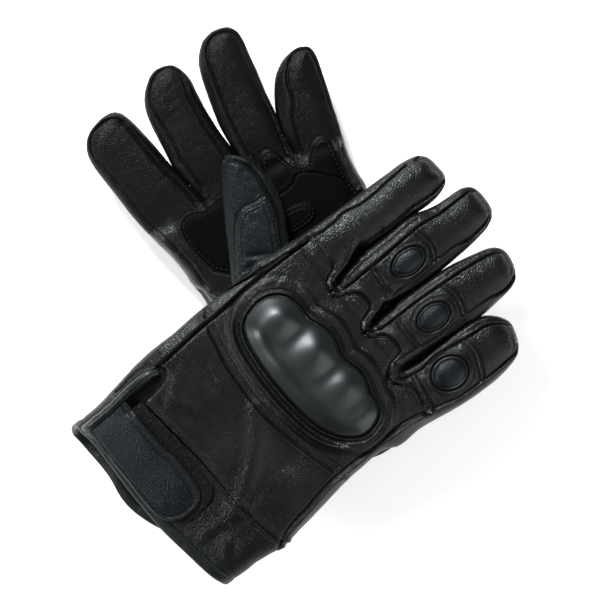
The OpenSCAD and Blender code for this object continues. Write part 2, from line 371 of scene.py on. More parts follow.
def vertex_normals(v, f):
    a, b = v[f[:, 2]] - v[f[:, 0]], v[f[:, 3 % f.shape[1]]] - v[f[:, 1]]
    fn = np.cross(a, b)
    n = np.zeros_like(v)
    for k in range(f.shape[1]):
        np.add.at(n, f[:, k], fn)
    return n / (np.linalg.norm(n, axis=1)[:, None] + 1e-12)


def relax(v, f, n=2, amount=0.5, keep=None):
    e = np.vstack([f[:, [k, (k + 1) % f.shape[1]]] for k in range(f.shape[1])])
    cnt = np.bincount(np.concatenate([e[:, 0], e[:, 1]]), minlength=len(v)).astype(float)
    for _ in range(n):
        s = np.zeros_like(v)
        np.add.at(s, e[:, 0], v[e[:, 1]])
        np.add.at(s, e[:, 1], v[e[:, 0]])
        m = s / np.maximum(cnt, 1)[:, None]
        d = (m - v) * amount
        if keep is not None:
            d[keep] = 0
        v = v + d
    return v


def add_object(name, me, material):
    ob = bpy.data.objects.new(name, me)
    bpy.context.scene.collection.objects.link(ob)
    me.materials.append(material)
    return ob


# ---------------------------------------------------------------- lines, in the glove frame, in millimetres
def flat(points, side="right", w=20.0):
    """Lines on the hanging cuff are given as seen from straight above; this lays them out along the cuff."""
    pts = np.array(points, float)
    g = np.linspace(-135, -50, 171)
    p = bend_cuff(np.stack([g, np.zeros_like(g), np.full_like(g, w)], 1), side)
    k = 841.0 / (907.0 - (p[:, 2] + RIGHT_Z))
    seen = 16.5 + (p[:, 0] - 16.5) * k
    m = pts[:, 0] < -55
    kk = np.interp(pts[:, 0], seen, k)
    pts[m, 1] = (19.6 + (pts[:, 1] - 19.6) / kk)[m]
    u = np.interp(pts[:, 0], seen, g)
    blend = smooth01(-pts[:, 0], 55, 66)
    pts[:, 0] = pts[:, 0] * (1 - blend) + u * blend
    return pts


HAND_OUT = {
    "right": [(-150, -69), (-118, -69.5), (-100, -70.3), (-90, -70), (-80, -71), (-70, -72.6), (-60, -71.2), (-50, -70.4), (-40, -69.2), (-30, -68),
              (-20, -67.1), (-8, -66.8), (5, -67.3), (18, -68.8), (30.5, -71), (31.5, -43), (34.5, -41), (35.5, 43), (30, 45), (20, 46), (12, 47),
              (0, 47.9), (-10, 48.4), (-30, 48.9), (-45, 48.4), (-60, 49.4), (-70, 49), (-84, 47.2), (-100, 45.6), (-118, 45.5), (-150, 45)],
    "left": [(-150, -66), (-118, -66), (-72, -66.5), (-58, -66), (-30, -64.5), (-10, -63.2), (0, -63.5), (10, -63.9), (20, -64.8), (29, -67),
             (31.5, -43), (34.5, -41), (35.5, 44), (30, 45.4), (20, 42.4), (10, 40.5), (0, 38.7), (-10, 38), (-30, 38.5), (-50, 40.5), (-70, 42),
             (-90, 43), (-118, 42), (-150, 42)],
}
FINGER_OUT = {
    "right": [
        [(10, 46.5), (20, 45.9), (31, 44.8), (40, 43.9), (60, 42.4), (70, 41.7), (80, 40.9), (90, 40.8), (100, 40.8), (105, 40.2), (111, 38.7),
         (114.4, 36.1), (116.2, 32.8), (116.6, 27.2), (116.8, 22.2), (115.6, 19.2), (112.8, 16.7), (107.8, 15), (102, 14.5), (95.6, 15), (91, 15.7),
         (85, 15.8), (75, 15.7), (60, 16.2), (47, 15.8), (40, 14.8), (34, 13.2), (10, 13)],
        [(10, 12.6), (34, 12.6), (40, 14.4), (47, 15.9), (55, 16.5), (65, 16.2), (75, 15.9), (85, 16.1), (92, 14.9), (100, 12.4), (108, 11.3), (115, 10.9),
         (120, 9.7), (123.5, 6.6), (124.7, 2), (124.6, -3), (123.8, -8), (120.5, -11.8), (115, -14.2), (108, -15.2), (100, -15.7), (90, -15.6),
         (80, -15.2), (70, -14.6), (60, -14.2), (50, -14), (42, -14.2), (35, -14.7), (10, -14.7)],
        [(10, -15.2), (35, -15.1), (42, -14.5), (50, -14.2), (60, -14.8), (70, -15.6), (80, -16.3), (90, -17.5), (100, -20.1), (108, -22.6), (112, -25),
         (114.7, -29), (114.6, -34), (113.3, -39), (110.7, -43), (107, -45.6), (100, -46.7), (90, -46.9), (80, -46.5), (70, -45.6), (60, -44.8),
         (50, -44), (40, -42.6), (30, -41.4), (10, -41)],
        [(4, -41.5), (28, -42), (35, -43.2), (42, -44.5), (50, -45), (60, -45.4), (70, -45.9), (78, -46.8), (85, -49), (89, -52.5), (92, -57), (92.8, -61),
         (91, -66), (88.5, -71), (85, -74), (80, -75.6), (70, -76.8), (60, -76.6), (50, -76), (40, -74.4), (30, -72.3), (20, -70.2), (4, -67.8)],
    ],
    "left": [
        [(0, 38.7), (10, 40.5), (20, 42.4), (30, 45.4), (40, 48), (50, 50.1), (60, 52.1), (70, 54), (80, 55.4), (88, 55.7), (94, 54.2), (99, 50.5),
         (101.7, 46), (103.7, 40), (104.2, 35), (103.3, 31), (100, 28), (95, 26), (85, 23.5), (75, 21.5), (65, 19.8), (55, 17.9), (45, 16), (36, 14.4),
         (20, 13), (0, 13)],
        [(0, 12.6), (36, 12.6), (45, 14.8), (55, 17.5), (63, 18.9), (72, 18.6), (80, 18.2), (88, 17.7), (95, 16.5), (102, 13.5), (107, 9), (110.5, 4),
         (111.5, 0), (110.8, -5), (109, -8.5), (105, -11), (98, -12.7), (90, -12.2), (80, -11.8), (70, -12.1), (60, -12.8), (50, -13.5), (36, -14.3), (0, -14.6)],
        [(0, -15.2), (36, -15), (50, -14.6), (60, -13.9), (68, -13.7), (75, -14.6), (85, -16.2), (95, -18.3), (103, -21), (108, -24.5), (112, -29),
         (113.8, -34), (113.8, -38), (112.5, -43), (109.5, -46.5), (104, -47.9), (95, -47), (85, -46.2), (75, -44.8), (65, -43.6), (55, -42.3), (45, -40.8),
         (34, -39.6), (0, -39.6)],
        [(0, -40.4), (33, -40.2), (45, -41.2), (55, -43), (60, -44.3), (65, -46.3), (70, -48.8), (75, -52), (79, -56), (82, -61), (83.5, -66), (84, -70),
         (83, -74), (81, -77), (76, -77.8), (70, -77), (60, -74.8), (50, -72), (40, -70), (30, -67.5), (20, -64.8), (10, -63.9), (0, -63.5)],
    ],
}
FINGER_OUT = {k: [resample(spline(f, 4, closed=True), 2.2, True) for f in v] for k, v in FINGER_OUT.items()}
# the finger panels' seams where they are seen: the right glove's backs, the left glove's palm sides; +1 where the line's left is its outer side
FINGER_SEAMS = {
    ("right", 0): [(1, [(42, 40.2), (46, 39.6), (50, 39.2), (57, 39.2), (62, 39.8), (66, 38.9), (72, 37.4), (80, 36.9), (90, 37.3), (100, 37.7), (106, 37.6)]),
                   (-1, [(60, 19.6), (70, 19.3), (80, 18.8), (90, 19.2), (97, 18.5), (105, 17.6), (112, 18.3), (116.3, 21)])],
    ("right", 1): [(1, [(35, 10.3), (40, 9.5), (50, 9.2), (60, 9.0), (70, 9.0), (80, 9.2), (88, 9.2), (95, 8.3), (100, 7.3), (108, 7.0), (116, 6.6), (120, 6.3), (123.8, 3)]),
                   (-1, [(53, -9.4), (60, -9.4), (75, -9.5), (90, -9.8), (97, -10.5), (103, -12), (110, -12.3), (116, -11.5), (121.5, -9)])],
    ("right", 2): [(1, [(35, -17), (40, -18.2), (50, -19), (60, -19.4), (70, -20.2), (80, -21.3), (90, -22.4), (100, -24), (108, -26), (113.8, -30)]),
                   (-1, [(30, -36.8), (38, -36.8), (45, -38), (55, -39.5), (65, -40.5), (75, -40.7), (85, -41.2), (92, -42), (100, -43.9), (106, -43.7), (111, -41.3), (113.6, -38)])],
    ("right", 3): [(1, [(29, -44), (35, -46.2), (42, -47.5), (50, -47), (60, -48.3), (68, -50), (75, -51.2), (80, -51.8), (85, -53.8), (90, -58), (92.2, -62)]),
                   (-1, [(30, -66), (38, -68.3), (45, -70.3), (50, -71.2), (60, -72), (70, -72.8), (80, -73.2), (86, -72.5), (90, -68)])],
    ("left", 0): [(1, [(-12, 33), (0, 35.6), (10, 36.5), (18, 38.2), (28, 40.6), (35, 43), (45, 45.7), (60, 47.4), (75, 49.8), (85, 52), (91, 52), (96, 49.7), (99.3, 45.5),
                       (100.6, 40), (100.5, 36), (99, 32.6), (95, 30.4), (85, 28.5), (75, 27), (65, 25.2), (58, 23), (52, 20.9), (45, 19.3), (37, 17.8)])],
    ("left", 1): [(1, [(42, 10.5), (52, 11.2), (58, 11.8), (62, 12.6), (70, 11.8), (90, 12), (98, 11), (102.5, 9), (106.5, 5), (109, 0), (109.2, -4), (107.4, -7),
                       (102, -9.5), (97, -9), (90, -7.2), (80, -7), (70, -6.6), (60, -7.5), (50, -8.2)])],
    ("left", 2): [(1, [(44, -19.8), (60, -20.3), (75, -21.7), (85, -23.3), (95, -25), (103, -26.7), (107.5, -29.3), (110.3, -33), (111, -37), (110, -41), (107.5, -44.6),
                       (103, -45.9), (95, -45), (85, -43.7), (75, -42.3), (65, -41.3), (55, -40.6), (45, -39.3), (36, -37.8)])],
    ("left", 3): [(1, [(33, -42.5), (36, -45), (45, -48), (52, -50), (56, -53), (62, -56), (68, -56.7), (73, -58.6), (77, -61.5), (80.5, -65), (82, -69), (81.3, -73),
                       (79, -75.6), (73, -75.6), (65, -74.2), (55, -72.2), (45, -69.9), (38, -68), (30, -65.9), (20, -63.2), (10, -61.9), (0, -61)])],
}
FINGER_SEAMS = {k: [(s, spline(p, 5)) for s, p in v] for k, v in FINGER_SEAMS.items()}
# folds of the side walls at the crotches of the right glove
LEAVES = [spline(p, 6) for p in (
    [(35, 14.6), (38, 16.3), (42, 17.2), (47, 18.3), (52, 20.8), (57, 22.8), (62, 23.7), (66.5, 23)],
    [(35, -12.7), (40, -10.9), (44, -9.9), (47, -8.9), (49, -8.2), (52, -9.8), (57, -11.2), (63, -12.4), (70, -13.6)],
    [(30, -39.2), (38, -39.6), (50, -41.2), (60, -42.3), (70, -43.1)])]

# the contoured seam between the back of the hand and the fingers
SEAM = spline([(43.4, 41), (42.8, 35), (41.5, 28), (40.5, 21.5), (36.5, 19.6), (33, 17), (31.4, 13.5), (31.3, 10.8), (33.2, 8.2), (37, 6), (40.6, 3.6),
               (42.6, 0), (43, -4), (41.8, -6.8), (38, -8), (34, -9.8), (31.2, -12.4), (30.8, -15.2), (32.2, -17.8), (35.5, -20.2), (38.6, -23.2), (39.9, -27),
               (40, -32), (38, -34.4), (32, -35.2), (27.3, -37.6), (25, -41), (26.6, -45), (30, -48.6), (32.6, -51.4), (32.5, -56), (31, -61), (30.3, -66.5)], 5)
SEAM_IN = offset(SEAM, -2.0)
SEAM_IN = resample(SEAM_IN[d_line(SEAM_IN, SEAM)[0] > 1.8], 1.0)
for _ in range(14):
    SEAM_IN[1:-1] = (SEAM_IN[:-2] + SEAM_IN[1:-1] + SEAM_IN[2:]) / 3
KNUCKLE_SEAM = spline([(-26, 44.5), (-28, 41), (-31, 30), (-33.5, 20), (-34.8, 10), (-35.5, 0), (-35.3, -15), (-33.5, -30), (-31.5, -40), (-28.5, -52), (-25.5, -63)], 8)
CUFF_SEAM = spline(flat([(-80.5, 34), (-80, 28), (-79.3, 20), (-78.6, 10), (-77.8, 0), (-77, -10), (-76.8, -20), (-76.8, -35), (-76, -45), (-75, -55), (-73, -65), (-70.6, -72)]), 6)
RADIAL = spline(flat([(-62, 40), (-50, 40.5), (-35, 41.3), (-18, 41.2), (0, 42.2), (20, 41.4), (32, 41), (43, 40.2)]), 8)
ULNAR = spline([(30, -66), (20, -63.3), (10, -62.5), (0, -62), (-20, -61.7), (-30, -61.7), (-40, -62.8), (-50, -64.6), (-60, -65.8), (-66, -67.5), (-71.5, -70.5)], 8)
GUARD = spline([(-6, 31.3), (0, 32), (5, 31), (9, 28.5), (12, 25), (13.3, 21), (13.7, 16), (13, 11.5), (13.5, 8.5), (15, 4), (16.7, -1), (16.5, -6), (15.5, -10),
                (14, -14), (13.6, -18), (14.5, -22), (15.6, -26), (15.5, -31), (14, -36), (12.5, -39.5), (12.3, -44), (11.3, -48), (8, -51.5), (3, -53.2),
                (-1, -53.5), (-5, -52.3), (-10, -48.5), (-14, -43.5), (-17, -37), (-19, -28), (-20, -18), (-20.3, -8), (-20, 2), (-19, 12), (-17.5, 20),
                (-15, 26), (-11, 29.5)], 4, closed=True)
PALM_PATCH = spline([(36, -22), (39, -23), (42.3, -25), (44, -28), (42.5, -31.5), (37, -34), (32, -35.5), (28, -38.5), (26, -42), (27, -45.5), (31, -49), (34.5, -52.5),
                     (36, -56), (35, -59), (32.5, -60.8), (27, -60.3), (20, -59.8), (12, -58.9), (5, -59.5), (-6, -60), (-18, -57), (-24, -45), (-22, -20), (-14, 0),
                     (-6, 16), (2, 26.5), (5, 28), (8, 29.3), (15, 31.2), (22, 32.3), (28, 32.4), (32, 31), (35, 27.5), (35.4, 23.5), (33.8, 19), (32.5, 15.5),
                     (33.5, 12), (35, 4), (34.5, -8), (34.5, -18)], 5, closed=True)
PALM_ARC = spline([(20, -23), (20.5, -29), (22, -33), (24.5, -36.5), (23.5, -41), (19.5, -47), (14, -53), (9, -58)], 6)
PALM_TAB = spline([(-1, -8), (-1.5, -16), (-1.5, -25), (-0.5, -31), (2, -35), (6, -35.5), (9.5, -32), (10.7, -25), (10.5, -16), (10, -8)], 6)
PADS = {1: (34.7, -0.3, 8.6, 5.6), 2: (26.4, -1.9, 8.2, 5.6), 3: (20.3, 0.3, 8.8, 7.4)}
# double stitched lines across the fingers' backs, in the glove frame of the right glove
BARS = {
    1: [[(56.7, 8.2), (55.6, 0), (54.6, -7.5)], [(54.6, 8.2), (53.8, 0), (52.8, -6.8)], [(83, 8.3), (84.5, 3), (84.1, -3), (81.5, -9)], [(86.3, 8), (87.7, 2), (87.2, -4), (84.2, -9.2)]],
    2: [[(47.4, -20), (46.5, -29), (46, -37.2)], [(49.5, -20), (48.6, -29), (48, -37.6)], [(76.6, -22), (78.3, -29), (77.3, -35), (74.6, -40)], [(79.3, -22.5), (80.9, -29), (79.8, -35.6), (77, -40.2)]],
    3: [[(35.3, -47.6), (33.6, -56), (31.4, -65.4)], [(37.3, -47.8), (35.8, -57), (33.6, -66.2)], [(66, -50.5), (67.4, -55), (66.8, -60), (64, -66), (60.8, -71)], [(68.6, -50.6), (69.8, -55.5), (69.2, -61), (66.4, -67), (63.2, -71.6)]],
}
BARS = {k: [spline(b, 6) for b in v] for k, v in BARS.items()}
PIPING = spline(flat([(-115.6, 41), (-110, 39.6), (-104, 39.3), (-96, 39.2), (-88, 39.6), (-80, 40.2), (-72, 40.4), (-67, 39.7), (-64, 38.6)]), 6)
SLIT = spline(flat([(-88, 35.6), (-80, 34.6), (-72, 34.6), (-66.5, 35.4), (-63, 37)]), 6)
SLIT_RING = spline(flat([(-88, 44.3), (-82, 44.6), (-76, 45.4), (-68, 44.8), (-63.8, 42.8), (-61.6, 39.8), (-62.6, 36.6), (-67, 33.8), (-74, 32.2), (-80, 31)]), 6)


def on_side(line, side, i):
    """A line drawn for the right glove, moved with its finger to the left one."""
    if side == "right":
        return line
    p = np.c_[line, np.full(len(line), 16.0)]
    q = to_finger(p, i, "right")
    q[:, 0] = np.maximum(q[:, 0], 0) * SCRUNCH[i] + np.minimum(q[:, 0], 0)
    return from_finger(q, i, "left")[:, :2]


def hand_field(p, side):
    d2 = sd_poly(p[:, :, 0, :2], HAND_OUT[side])
    u = p[:, :, 0, 0]
    e = 15.0 - 9.0 * smooth01(u, 8, 28)
    h = 9.6 - 0.6 * smooth01(u, 0, 36) - 1.2 * smooth01(-u, 50, 80)
    r = (np.maximum(d2 + e, 0) / e)[:, :, None]
    return ((r**2.5 + (np.abs(p[..., 2] - 10) / h[:, :, None]) ** 2.5) ** 0.4 - 1) * 8.5


def finger_field(p, i, side):
    q = to_finger(p, i, side)
    d2 = sd_poly(p[:, :, 0, :2], FINGER_OUT[side][i])
    # neighbours press against each other for the first stretch
    touch = 0.65 * (1 - smooth01(p[:, :, 0, 0], 80, 98)) if side == "right" else 1.0 * (1 - smooth01(p[:, :, 0, 0], 50, 68))
    d2 = (d2 - touch)[:, :, None]
    l = f_len(i, side)
    h = 8.1 - 1.0 * smooth01(q[..., 0], l - 34, l - 4)
    e = WIDTHS[i] / 2
    r = np.maximum(d2 + e, 0) / e
    return ((r**2.3 + (np.abs(q[..., 2] - 8.0) / h) ** 2.3) ** (1 / 2.3) - 1) * 7.6


def glove_skin(side, h):
    """One welded skin for hand, cuff and fingers. Returns vertices, quads and each quad's finger, -1 for the hand."""
    org = np.array([-119.0, -90.0, -9.5])
    n = (np.array([129.0, 66.0, 22.5]) - org) / h
    nx, ny, nz = (int(k) for k in n)
    ax = [org[k] + h * np.arange(m) for k, m in enumerate((nx, ny, nz))]
    p = np.stack(np.meshgrid(*ax, indexing="ij"), -1)
    fh = hand_field(p, side)
    each = []
    for i in range(4):
        x0 = int((-2 - org[0]) / h)
        f = np.full(fh.shape, 50.0)
        f[x0:] = finger_field(p[x0:], i, side)
        each.append(smin(fh, f, 3.0))
    allf = np.minimum.reduce(each + [fh])
    va, qa, ka = surface_nets(allf, org, h)
    cut = 12.0
    ca = va[qa].mean(1)

    def own_of(c):
        return np.argmin(np.stack([sd_poly(c[:, :2], FINGER_OUT[side][i]) for i in range(4)], 1), 1)

    own = own_of(ca)
    xs = np.stack([to_finger(ca, i, side)[:, 0] for i in range(4)], 1)
    keep = xs[np.arange(len(ca)), own] < cut
    verts, quads, tags = [va], [qa[keep]], [np.full(keep.sum(), -1)]
    lookup = np.full(int(ka.max()) + 1, -1, np.int64)
    lookup[ka] = np.arange(len(ka))
    base = len(va)
    for i in range(4):
        x0 = int((25 - org[0]) / h)
        vf, qf, kf = surface_nets(each[i][x0:], org + np.array([x0 * h, 0, 0]), h)
        sub = each[i][x0:].shape
        c = vf[qf].mean(1)
        m = to_finger(c, i, side)[:, 0] >= cut
        mine = qf[m]
        # vertices shared with the hand's own net keep the hand's number
        plane = (sub[1] - 1) * (sub[2] - 1)
        gk = kf + x0 * plane
        new = np.arange(base, base + len(vf))
        near = np.where(gk < len(lookup), lookup[np.minimum(gk, len(lookup) - 1)], -1)
        ok = near >= 0
        ok[ok] = np.linalg.norm(va[near[ok]] - vf[ok], axis=1) < 1e-6
        new[ok] = near[ok]
        quads.append(new[mine])
        tags.append(np.full(len(mine), i))
        verts.append(vf)
        base += len(vf)
    v, q, t = np.vstack(verts), np.vstack(quads), np.concatenate(tags)
    used, inv = np.unique(q, return_inverse=True)
    return v[used], inv.reshape(q.shape), t


def groove(d, depth, width):
    return -depth * np.exp(-((d / width) ** 2))


def bump(d, height, width):
    return height * np.exp(-((d / width) ** 2))


def wall_roll(beyond, inside, a, b):
    """Height added to a side wall so that it rises from its seam and slopes gently down to the outline."""
    w = np.clip(np.maximum(beyond, 0) + np.maximum(inside, 0), 1.0, 8.0)
    t = beyond / w
    return w * (a * smooth01(t, 0.0, 0.22) + b * smooth01(t, 0.3, 1.0))


def finger_detail(v, nrm, i, side, d2):
    """Seams, folds and puckers of one finger. v in the glove frame."""
    q = to_finger(v, i, side)
    x, y = q[:, 0], q[:, 1]
    l = f_len(i, side)
    up = nrm[:, 2]
    out, lift = np.zeros(len(v)), np.zeros(len(v))
    seen = 1 if side == "right" else -1
    # the side that lies hidden: a plain seam set in from the edge
    wt = smooth01(-seen * up, 0.02, 0.22) * smooth01(x, 4, 12)
    d = -d2 - 3.2
    out += wt * (groove(d, 1.1, 0.75) + bump(d + 1.9, 0.5, 1.3) + bump(d - 1.8, 0.3, 1.5))
    # the side that is seen
    wt = smooth01(seen * up, 0.0, 0.2)
    for s, line in FINGER_SEAMS[(side, i)]:
        dl, sg = d_line(v[:, :2], line)
        a = np.linalg.norm(v[:, :2] - line[0], axis=1)
        b = np.linalg.norm(v[:, :2] - line[-1], axis=1)
        end = smooth01(np.minimum(a, b), 0.5, 4.0) if side == "right" else smooth01(np.minimum(a, b), 0.3, 3.0)
        dd = dl * sg * s
        out += wt * end * (groove(dl, 1.3, 0.62) + bump(dd + 1.3, 0.2, 0.9))
        # the side wall beyond the seam swells into a roll
        wide = 3.1 - 1.3 * smooth01(x, 30, l - 8)
        shown = seen * smooth01(seen * up, -0.15, 0.2) * end
        if side == "right" and s > 0:
            lift += shown * wall_roll(dd, -d2, *((0.28, 0.3) if i else (0.2, 0.1)))
        else:
            near = (1 - smooth01(x, 34, l - 14)) * (i < 3)
            lift += shown * smooth01(dd, 0.2, 1.6) * bump(dd - wide, 1.3 - 2.2 * near if side == "right" else 0.8, 2.4)
        # puckers across the seam
        out += wt * end * 0.16 * noise(np.stack([v[:, 0], v[:, 1], np.full_like(x, 9.0 * s)], 1), 2.8, 40 + i) * np.exp(-((dl / 3.2) ** 2))
    tipw = smooth01(x, l - 16, l - 5)
    out += (0.16 if side == "right" else 0.34) * tipw * noise(v, 2.6, 50 + i) * np.exp(-(((d2 + 3.2) / 2.6) ** 2))
    # each panel is pulled up into a pillow between its seams
    e = WIDTHS[i] / 2
    r = np.maximum(d2 + e, 0) / e
    crown = np.clip(1 - (r / 0.78) ** 3, 0, 1) * smooth01(np.abs(up), 0.3, 0.7) * smooth01(x, 4, 20)
    out += crown * (1.35 if side == "right" else 0.9)
    # soft cross wrinkles
    rng = np.random.RandomState(100 + i * 7 + (0 if side == "right" else 50))
    for k in range(5):
        xc, amp, slant = rng.uniform(16, l - 14), rng.uniform(0.04, 0.15), rng.uniform(-0.35, 0.35)
        xx = x - xc - slant * y + 1.4 * noise(v, 9.0, 60 + k)
        wid = rng.uniform(1.1, 2.2)
        span = np.exp(-(((y - rng.uniform(-8, 8)) / rng.uniform(4, 8)) ** 2))
        out += span * (-amp * np.exp(-((xx / wid) ** 2)) + 0.6 * amp * np.exp(-(((xx - 2.4) / 2.0) ** 2)))
    if i in BARS:
        topw = smooth01(up, 0.25, 0.6)
        for line in BARS[i]:
            dl, sg = d_line(v[:, :2], on_side(line, side, i))
            out += topw * (groove(dl, 1.0, 0.5) + bump(dl - 1.15, 0.22, 0.6))
        cx, cy, ra, rb = PADS[i]
        cx *= SCRUNCH[i] if side == "left" else 1
        rr = np.hypot((x - cx) / ra, (y - cy) / rb)
        dist = (rr - 1) * (ra + rb) / 2
        out += topw * (groove(np.abs(dist - 0.8), 1.1, 0.8) + bump(dist - 2.3, 0.6, 1.0) + groove(np.abs(dist - 3.4), 0.65, 0.5))
    return out, lift


def hand_detail(v, nrm, side):
    up = nrm[:, 2]
    p2 = v[:, :2]
    u, w = v[:, 0], v[:, 1]
    out = np.zeros(len(v))
    top, bot = smooth01(up, 0.05, 0.3), smooth01(-up, 0.05, 0.3)
    # back of the hand
    dr = d_line(p2, RADIAL)[0]
    du = d_line(p2, ULNAR)[0]
    for line, depth, wid, ridge in ((SEAM, 1.5, 0.7, 0.5), (CUFF_SEAM, 1.4, 0.9, 0.8), (RADIAL, 1.4, 0.8, 0.25 if side == "right" else 0.9), (ULNAR, 1.3, 0.8, 0.7)):
        if side == "left" and line is RADIAL:
            line = np.minimum(line, [999, 36.0]) - [0, 0]
        d, s = d_line(p2, line)
        meet = 1.0
        if line is SEAM:
            meet = smooth01(dr, 0.8, 4.0) * smooth01(du, 0.8, 3.5) * (1 - 0.65 * smooth01(w, 21, 27))
        elif line is CUFF_SEAM:
            meet = smooth01(dr, 0.8, 4.0)
        out += top * meet * (groove(d, depth, wid) + bump(s * d - 1.9, ridge, 1.4) + bump(s * d + 1.7, 0.35 * ridge, 1.2))
    d, s = d_line(p2, SEAM_IN)
    out += top * smooth01(dr, 2.0, 5.0) * groove(d, 0.3, 0.5)
    d, s = d_line(p2, KNUCKLE_SEAM)
    dd = s * d
    out += top * smooth01(dr, 0.8, 3.5) * smooth01(du, 0.8, 3.0) * (groove(dd, 1.4, 0.75) + groove(dd - 1.8, 0.9, 0.55) + groove(dd - 3.5, 0.9, 0.55) + bump(dd + 1.8, 0.35, 1.3))
    dg = sd_poly(p2, GUARD)
    # the foam bed, the welt round the guard and the groove outside it
    weak = smooth01(w, 2, 26) * smooth01(u, -6, 12)
    bed = (1 - smooth01(dg, 7.0, 11.0)) * (1 - 0.65 * weak)
    out += top * (2.1 * bed + groove(np.abs(dg - 0.5), 0.9, 0.5) + bump(dg - 1.8, 0.7, 0.75) + groove(np.abs(dg - 3.2), 0.8, 0.5))
    lside = smooth01(-u, 10, 18)
    out += top * lside * (groove(dg - 4.4, 1.7, 1.15) + bump(dg - 6.5, 0.6, 1.3) + groove(dg - 8.2, 0.5, 0.7))
    # palm
    dp = sd_poly(p2, PALM_PATCH)
    out += bot * (0.8 * (1 - smooth01(dp, -0.7, 0.5)) + groove(np.abs(dp + 1.5), 0.4, 0.5) + groove(np.abs(dp - 0.9), 0.35, 0.6))
    d, s = d_line(p2, PALM_ARC)
    out += bot * (groove(d, 0.4, 0.6) + bump(s * d - 1.5, 0.2, 1.2))
    tab_in = sd_poly(p2, np.array(PALM_TAB))
    out += bot * (0.5 * (1 - smooth01(tab_in, -0.6, 0.5)) + groove(np.abs(tab_in + 1.6), 0.35, 0.5))
    if side == "left":
        for line in ([(-78, 34), (-45, 32), (-12, 33.2)], [(-78, -60), (-30, -59.5), (0, -61.2)]):
            d, s = d_line(p2, spline(line, 6))
            out += bot * (groove(d, 1.4, 0.8) + bump(d - 2.0, 0.5, 1.4))
    if side == "right":
        for line in (RADIAL, ULNAR):
            inner = offset(line, -2.0)
            d, s = d_line(p2, inner)
            out += bot * (groove(d, 1.1, 0.8) + bump(s * d - 1.9, 0.5, 1.3) + bump(s * d + 1.9, 0.3, 1.4))
        # the cuff's slit and the fold round its end
        d, s = d_line(p2, SLIT)
        out += top * groove(d, 6.0, 2.6)
        d, s = d_line(p2, SLIT_RING)
        out += top * (groove(d, 1.0, 0.75) + bump(s * d + 1.7, 0.6, 1.1))
    return out


def edge_rolls(v, nrm, side, own):
    """The walls beyond the two long seams swell upwards into a soft roll; the folds at the crotches drop behind a thin edge."""
    if side == "left":
        return np.zeros(len(v))
    p2, up, u = v[:, :2], smooth01(nrm[:, 2], -0.15, 0.2), v[:, 0]
    fold = np.zeros(len(v))
    for k, line in enumerate(LEAVES):
        d, s = d_line(p2, line)
        dd = s * d
        a = np.linalg.norm(p2 - line[0], axis=1)
        b = np.linalg.norm(p2 - line[-1], axis=1)
        fade = smooth01(a, 0.5, 4.0) * smooth01(b, 1.0, 12.0) * smooth01(nrm[:, 2], 0.05, 0.4) * (own == k)
        fold += fade * (bump(dd - 0.3, 1.0, 1.3) - (3.0, 2.0, 1.0)[k] * smooth01(-dd, 0.2, 2.6) * (1 - smooth01(d, 5.0, 8.0)))
    d, s = d_line(p2, RADIAL)
    edge = -sd_poly(p2, np.array(HAND_OUT["right"], float))
    out = fold + up * wall_roll(s * d, edge, 0.2, 0.18) * (s * d > 0) * smooth01(u, -66, -52) * (1 - smooth01(u, 36, 44))
    d, s = d_line(p2, ULNAR)
    s = -s if s[np.argmin(v[:, 1])] < 0 else s
    out += up * smooth01(s * d, 0.3, 1.6) * bump(s * d - 3.0, 1.2, 2.6) * smooth01(u, -66, -54) * (1 - smooth01(u, 22, 30))
    return out


def crease(v, line, amp, wid):
    """A soft fold: a hollow with a swelling along one side, fading out at both ends."""
    p2 = v[:, :2]
    d, s = d_line(p2, line)
    a = np.linalg.norm(p2 - line[0], axis=1)
    b = np.linalg.norm(p2 - line[-1], axis=1)
    fade = smooth01(np.minimum(a, b), 0.6 * wid, 3.5 * wid)
    return fade * (-amp * np.exp(-((d / wid) ** 2)) + 0.8 * amp * np.exp(-(((s * d - wid * 1.3) / wid) ** 2)))


def folds(v, nrm, side):
    """Large soft folds and dents, in millimetres along the normal."""
    u, w = v[:, 0], v[:, 1]
    out = 0.7 * fbm(v, 40.0, 3, 2) + 0.12 * fbm(v, 13.0, 11, 2)
    top = smooth01(nrm[:, 2], 0.1, 0.5)
    # the wrist panel breaks along one long soft ridge, with a hollow beyond it
    d, s = d_line(v[:, :2], spline([(-73, -41), (-62, -33.5), (-52, -26), (-44, -18.5), (-37, -8)], 8))
    out += top * bump(d, 1.3, 4.6)
    out += top * -1.8 * np.exp(-(((u + 41) / 10) ** 2) - (((w + 38) / 11) ** 2))
    out += top * -0.9 * np.exp(-(((u + 58) / 12) ** 2) - (((w + 3) / 16) ** 2))
    for pts, amp, wid in (([(-38, 34), (-44, 22), (-47, 4)], 0.45, 3.5), ([(-76, 26), (-67, 15), (-63, 0)], 0.5, 3.2), ([(-52, 38), (-66, 28), (-76, 18)], 0.5, 2.8),
                          ([(-72, -52), (-62, -46), (-50, -47)], 0.4, 2.6), ([(26, 36), (20, 26), (16, 16)], 0.3, 2.2), ([(22, 37), (13, 34), (4, 36.5)], 0.3, 1.8),
                          ([(26, -52), (18, -60), (8, -64)], 0.35, 2.4), ([(-100, -50), (-90, -46), (-78, -50)], 0.5, 3.2), ([(-92, -66), (-86, -56), (-80, -50)], 0.4, 2.8)):
        out += top * crease(v, spline(pts, 6), amp, wid)
    bot = smooth01(-nrm[:, 2], 0.1, 0.5)
    for pts, amp, wid in (([(-40, 34), (-38, 5), (-30, -24)], 0.8, 4.0), ([(-58, 24), (-56, -10), (-52, -46)], 0.7, 3.5), ([(4, 14), (16, 4), (28, 0)], 0.35, 3.0),
                          ([(26, 5), (36, 10), (46, 8)], 0.3, 3.0), ([(-72, 34), (-74, -10), (-70, -54)], 0.6, 3.0)):
        out += bot * crease(v, spline(pts, 6), amp, wid)
    return out


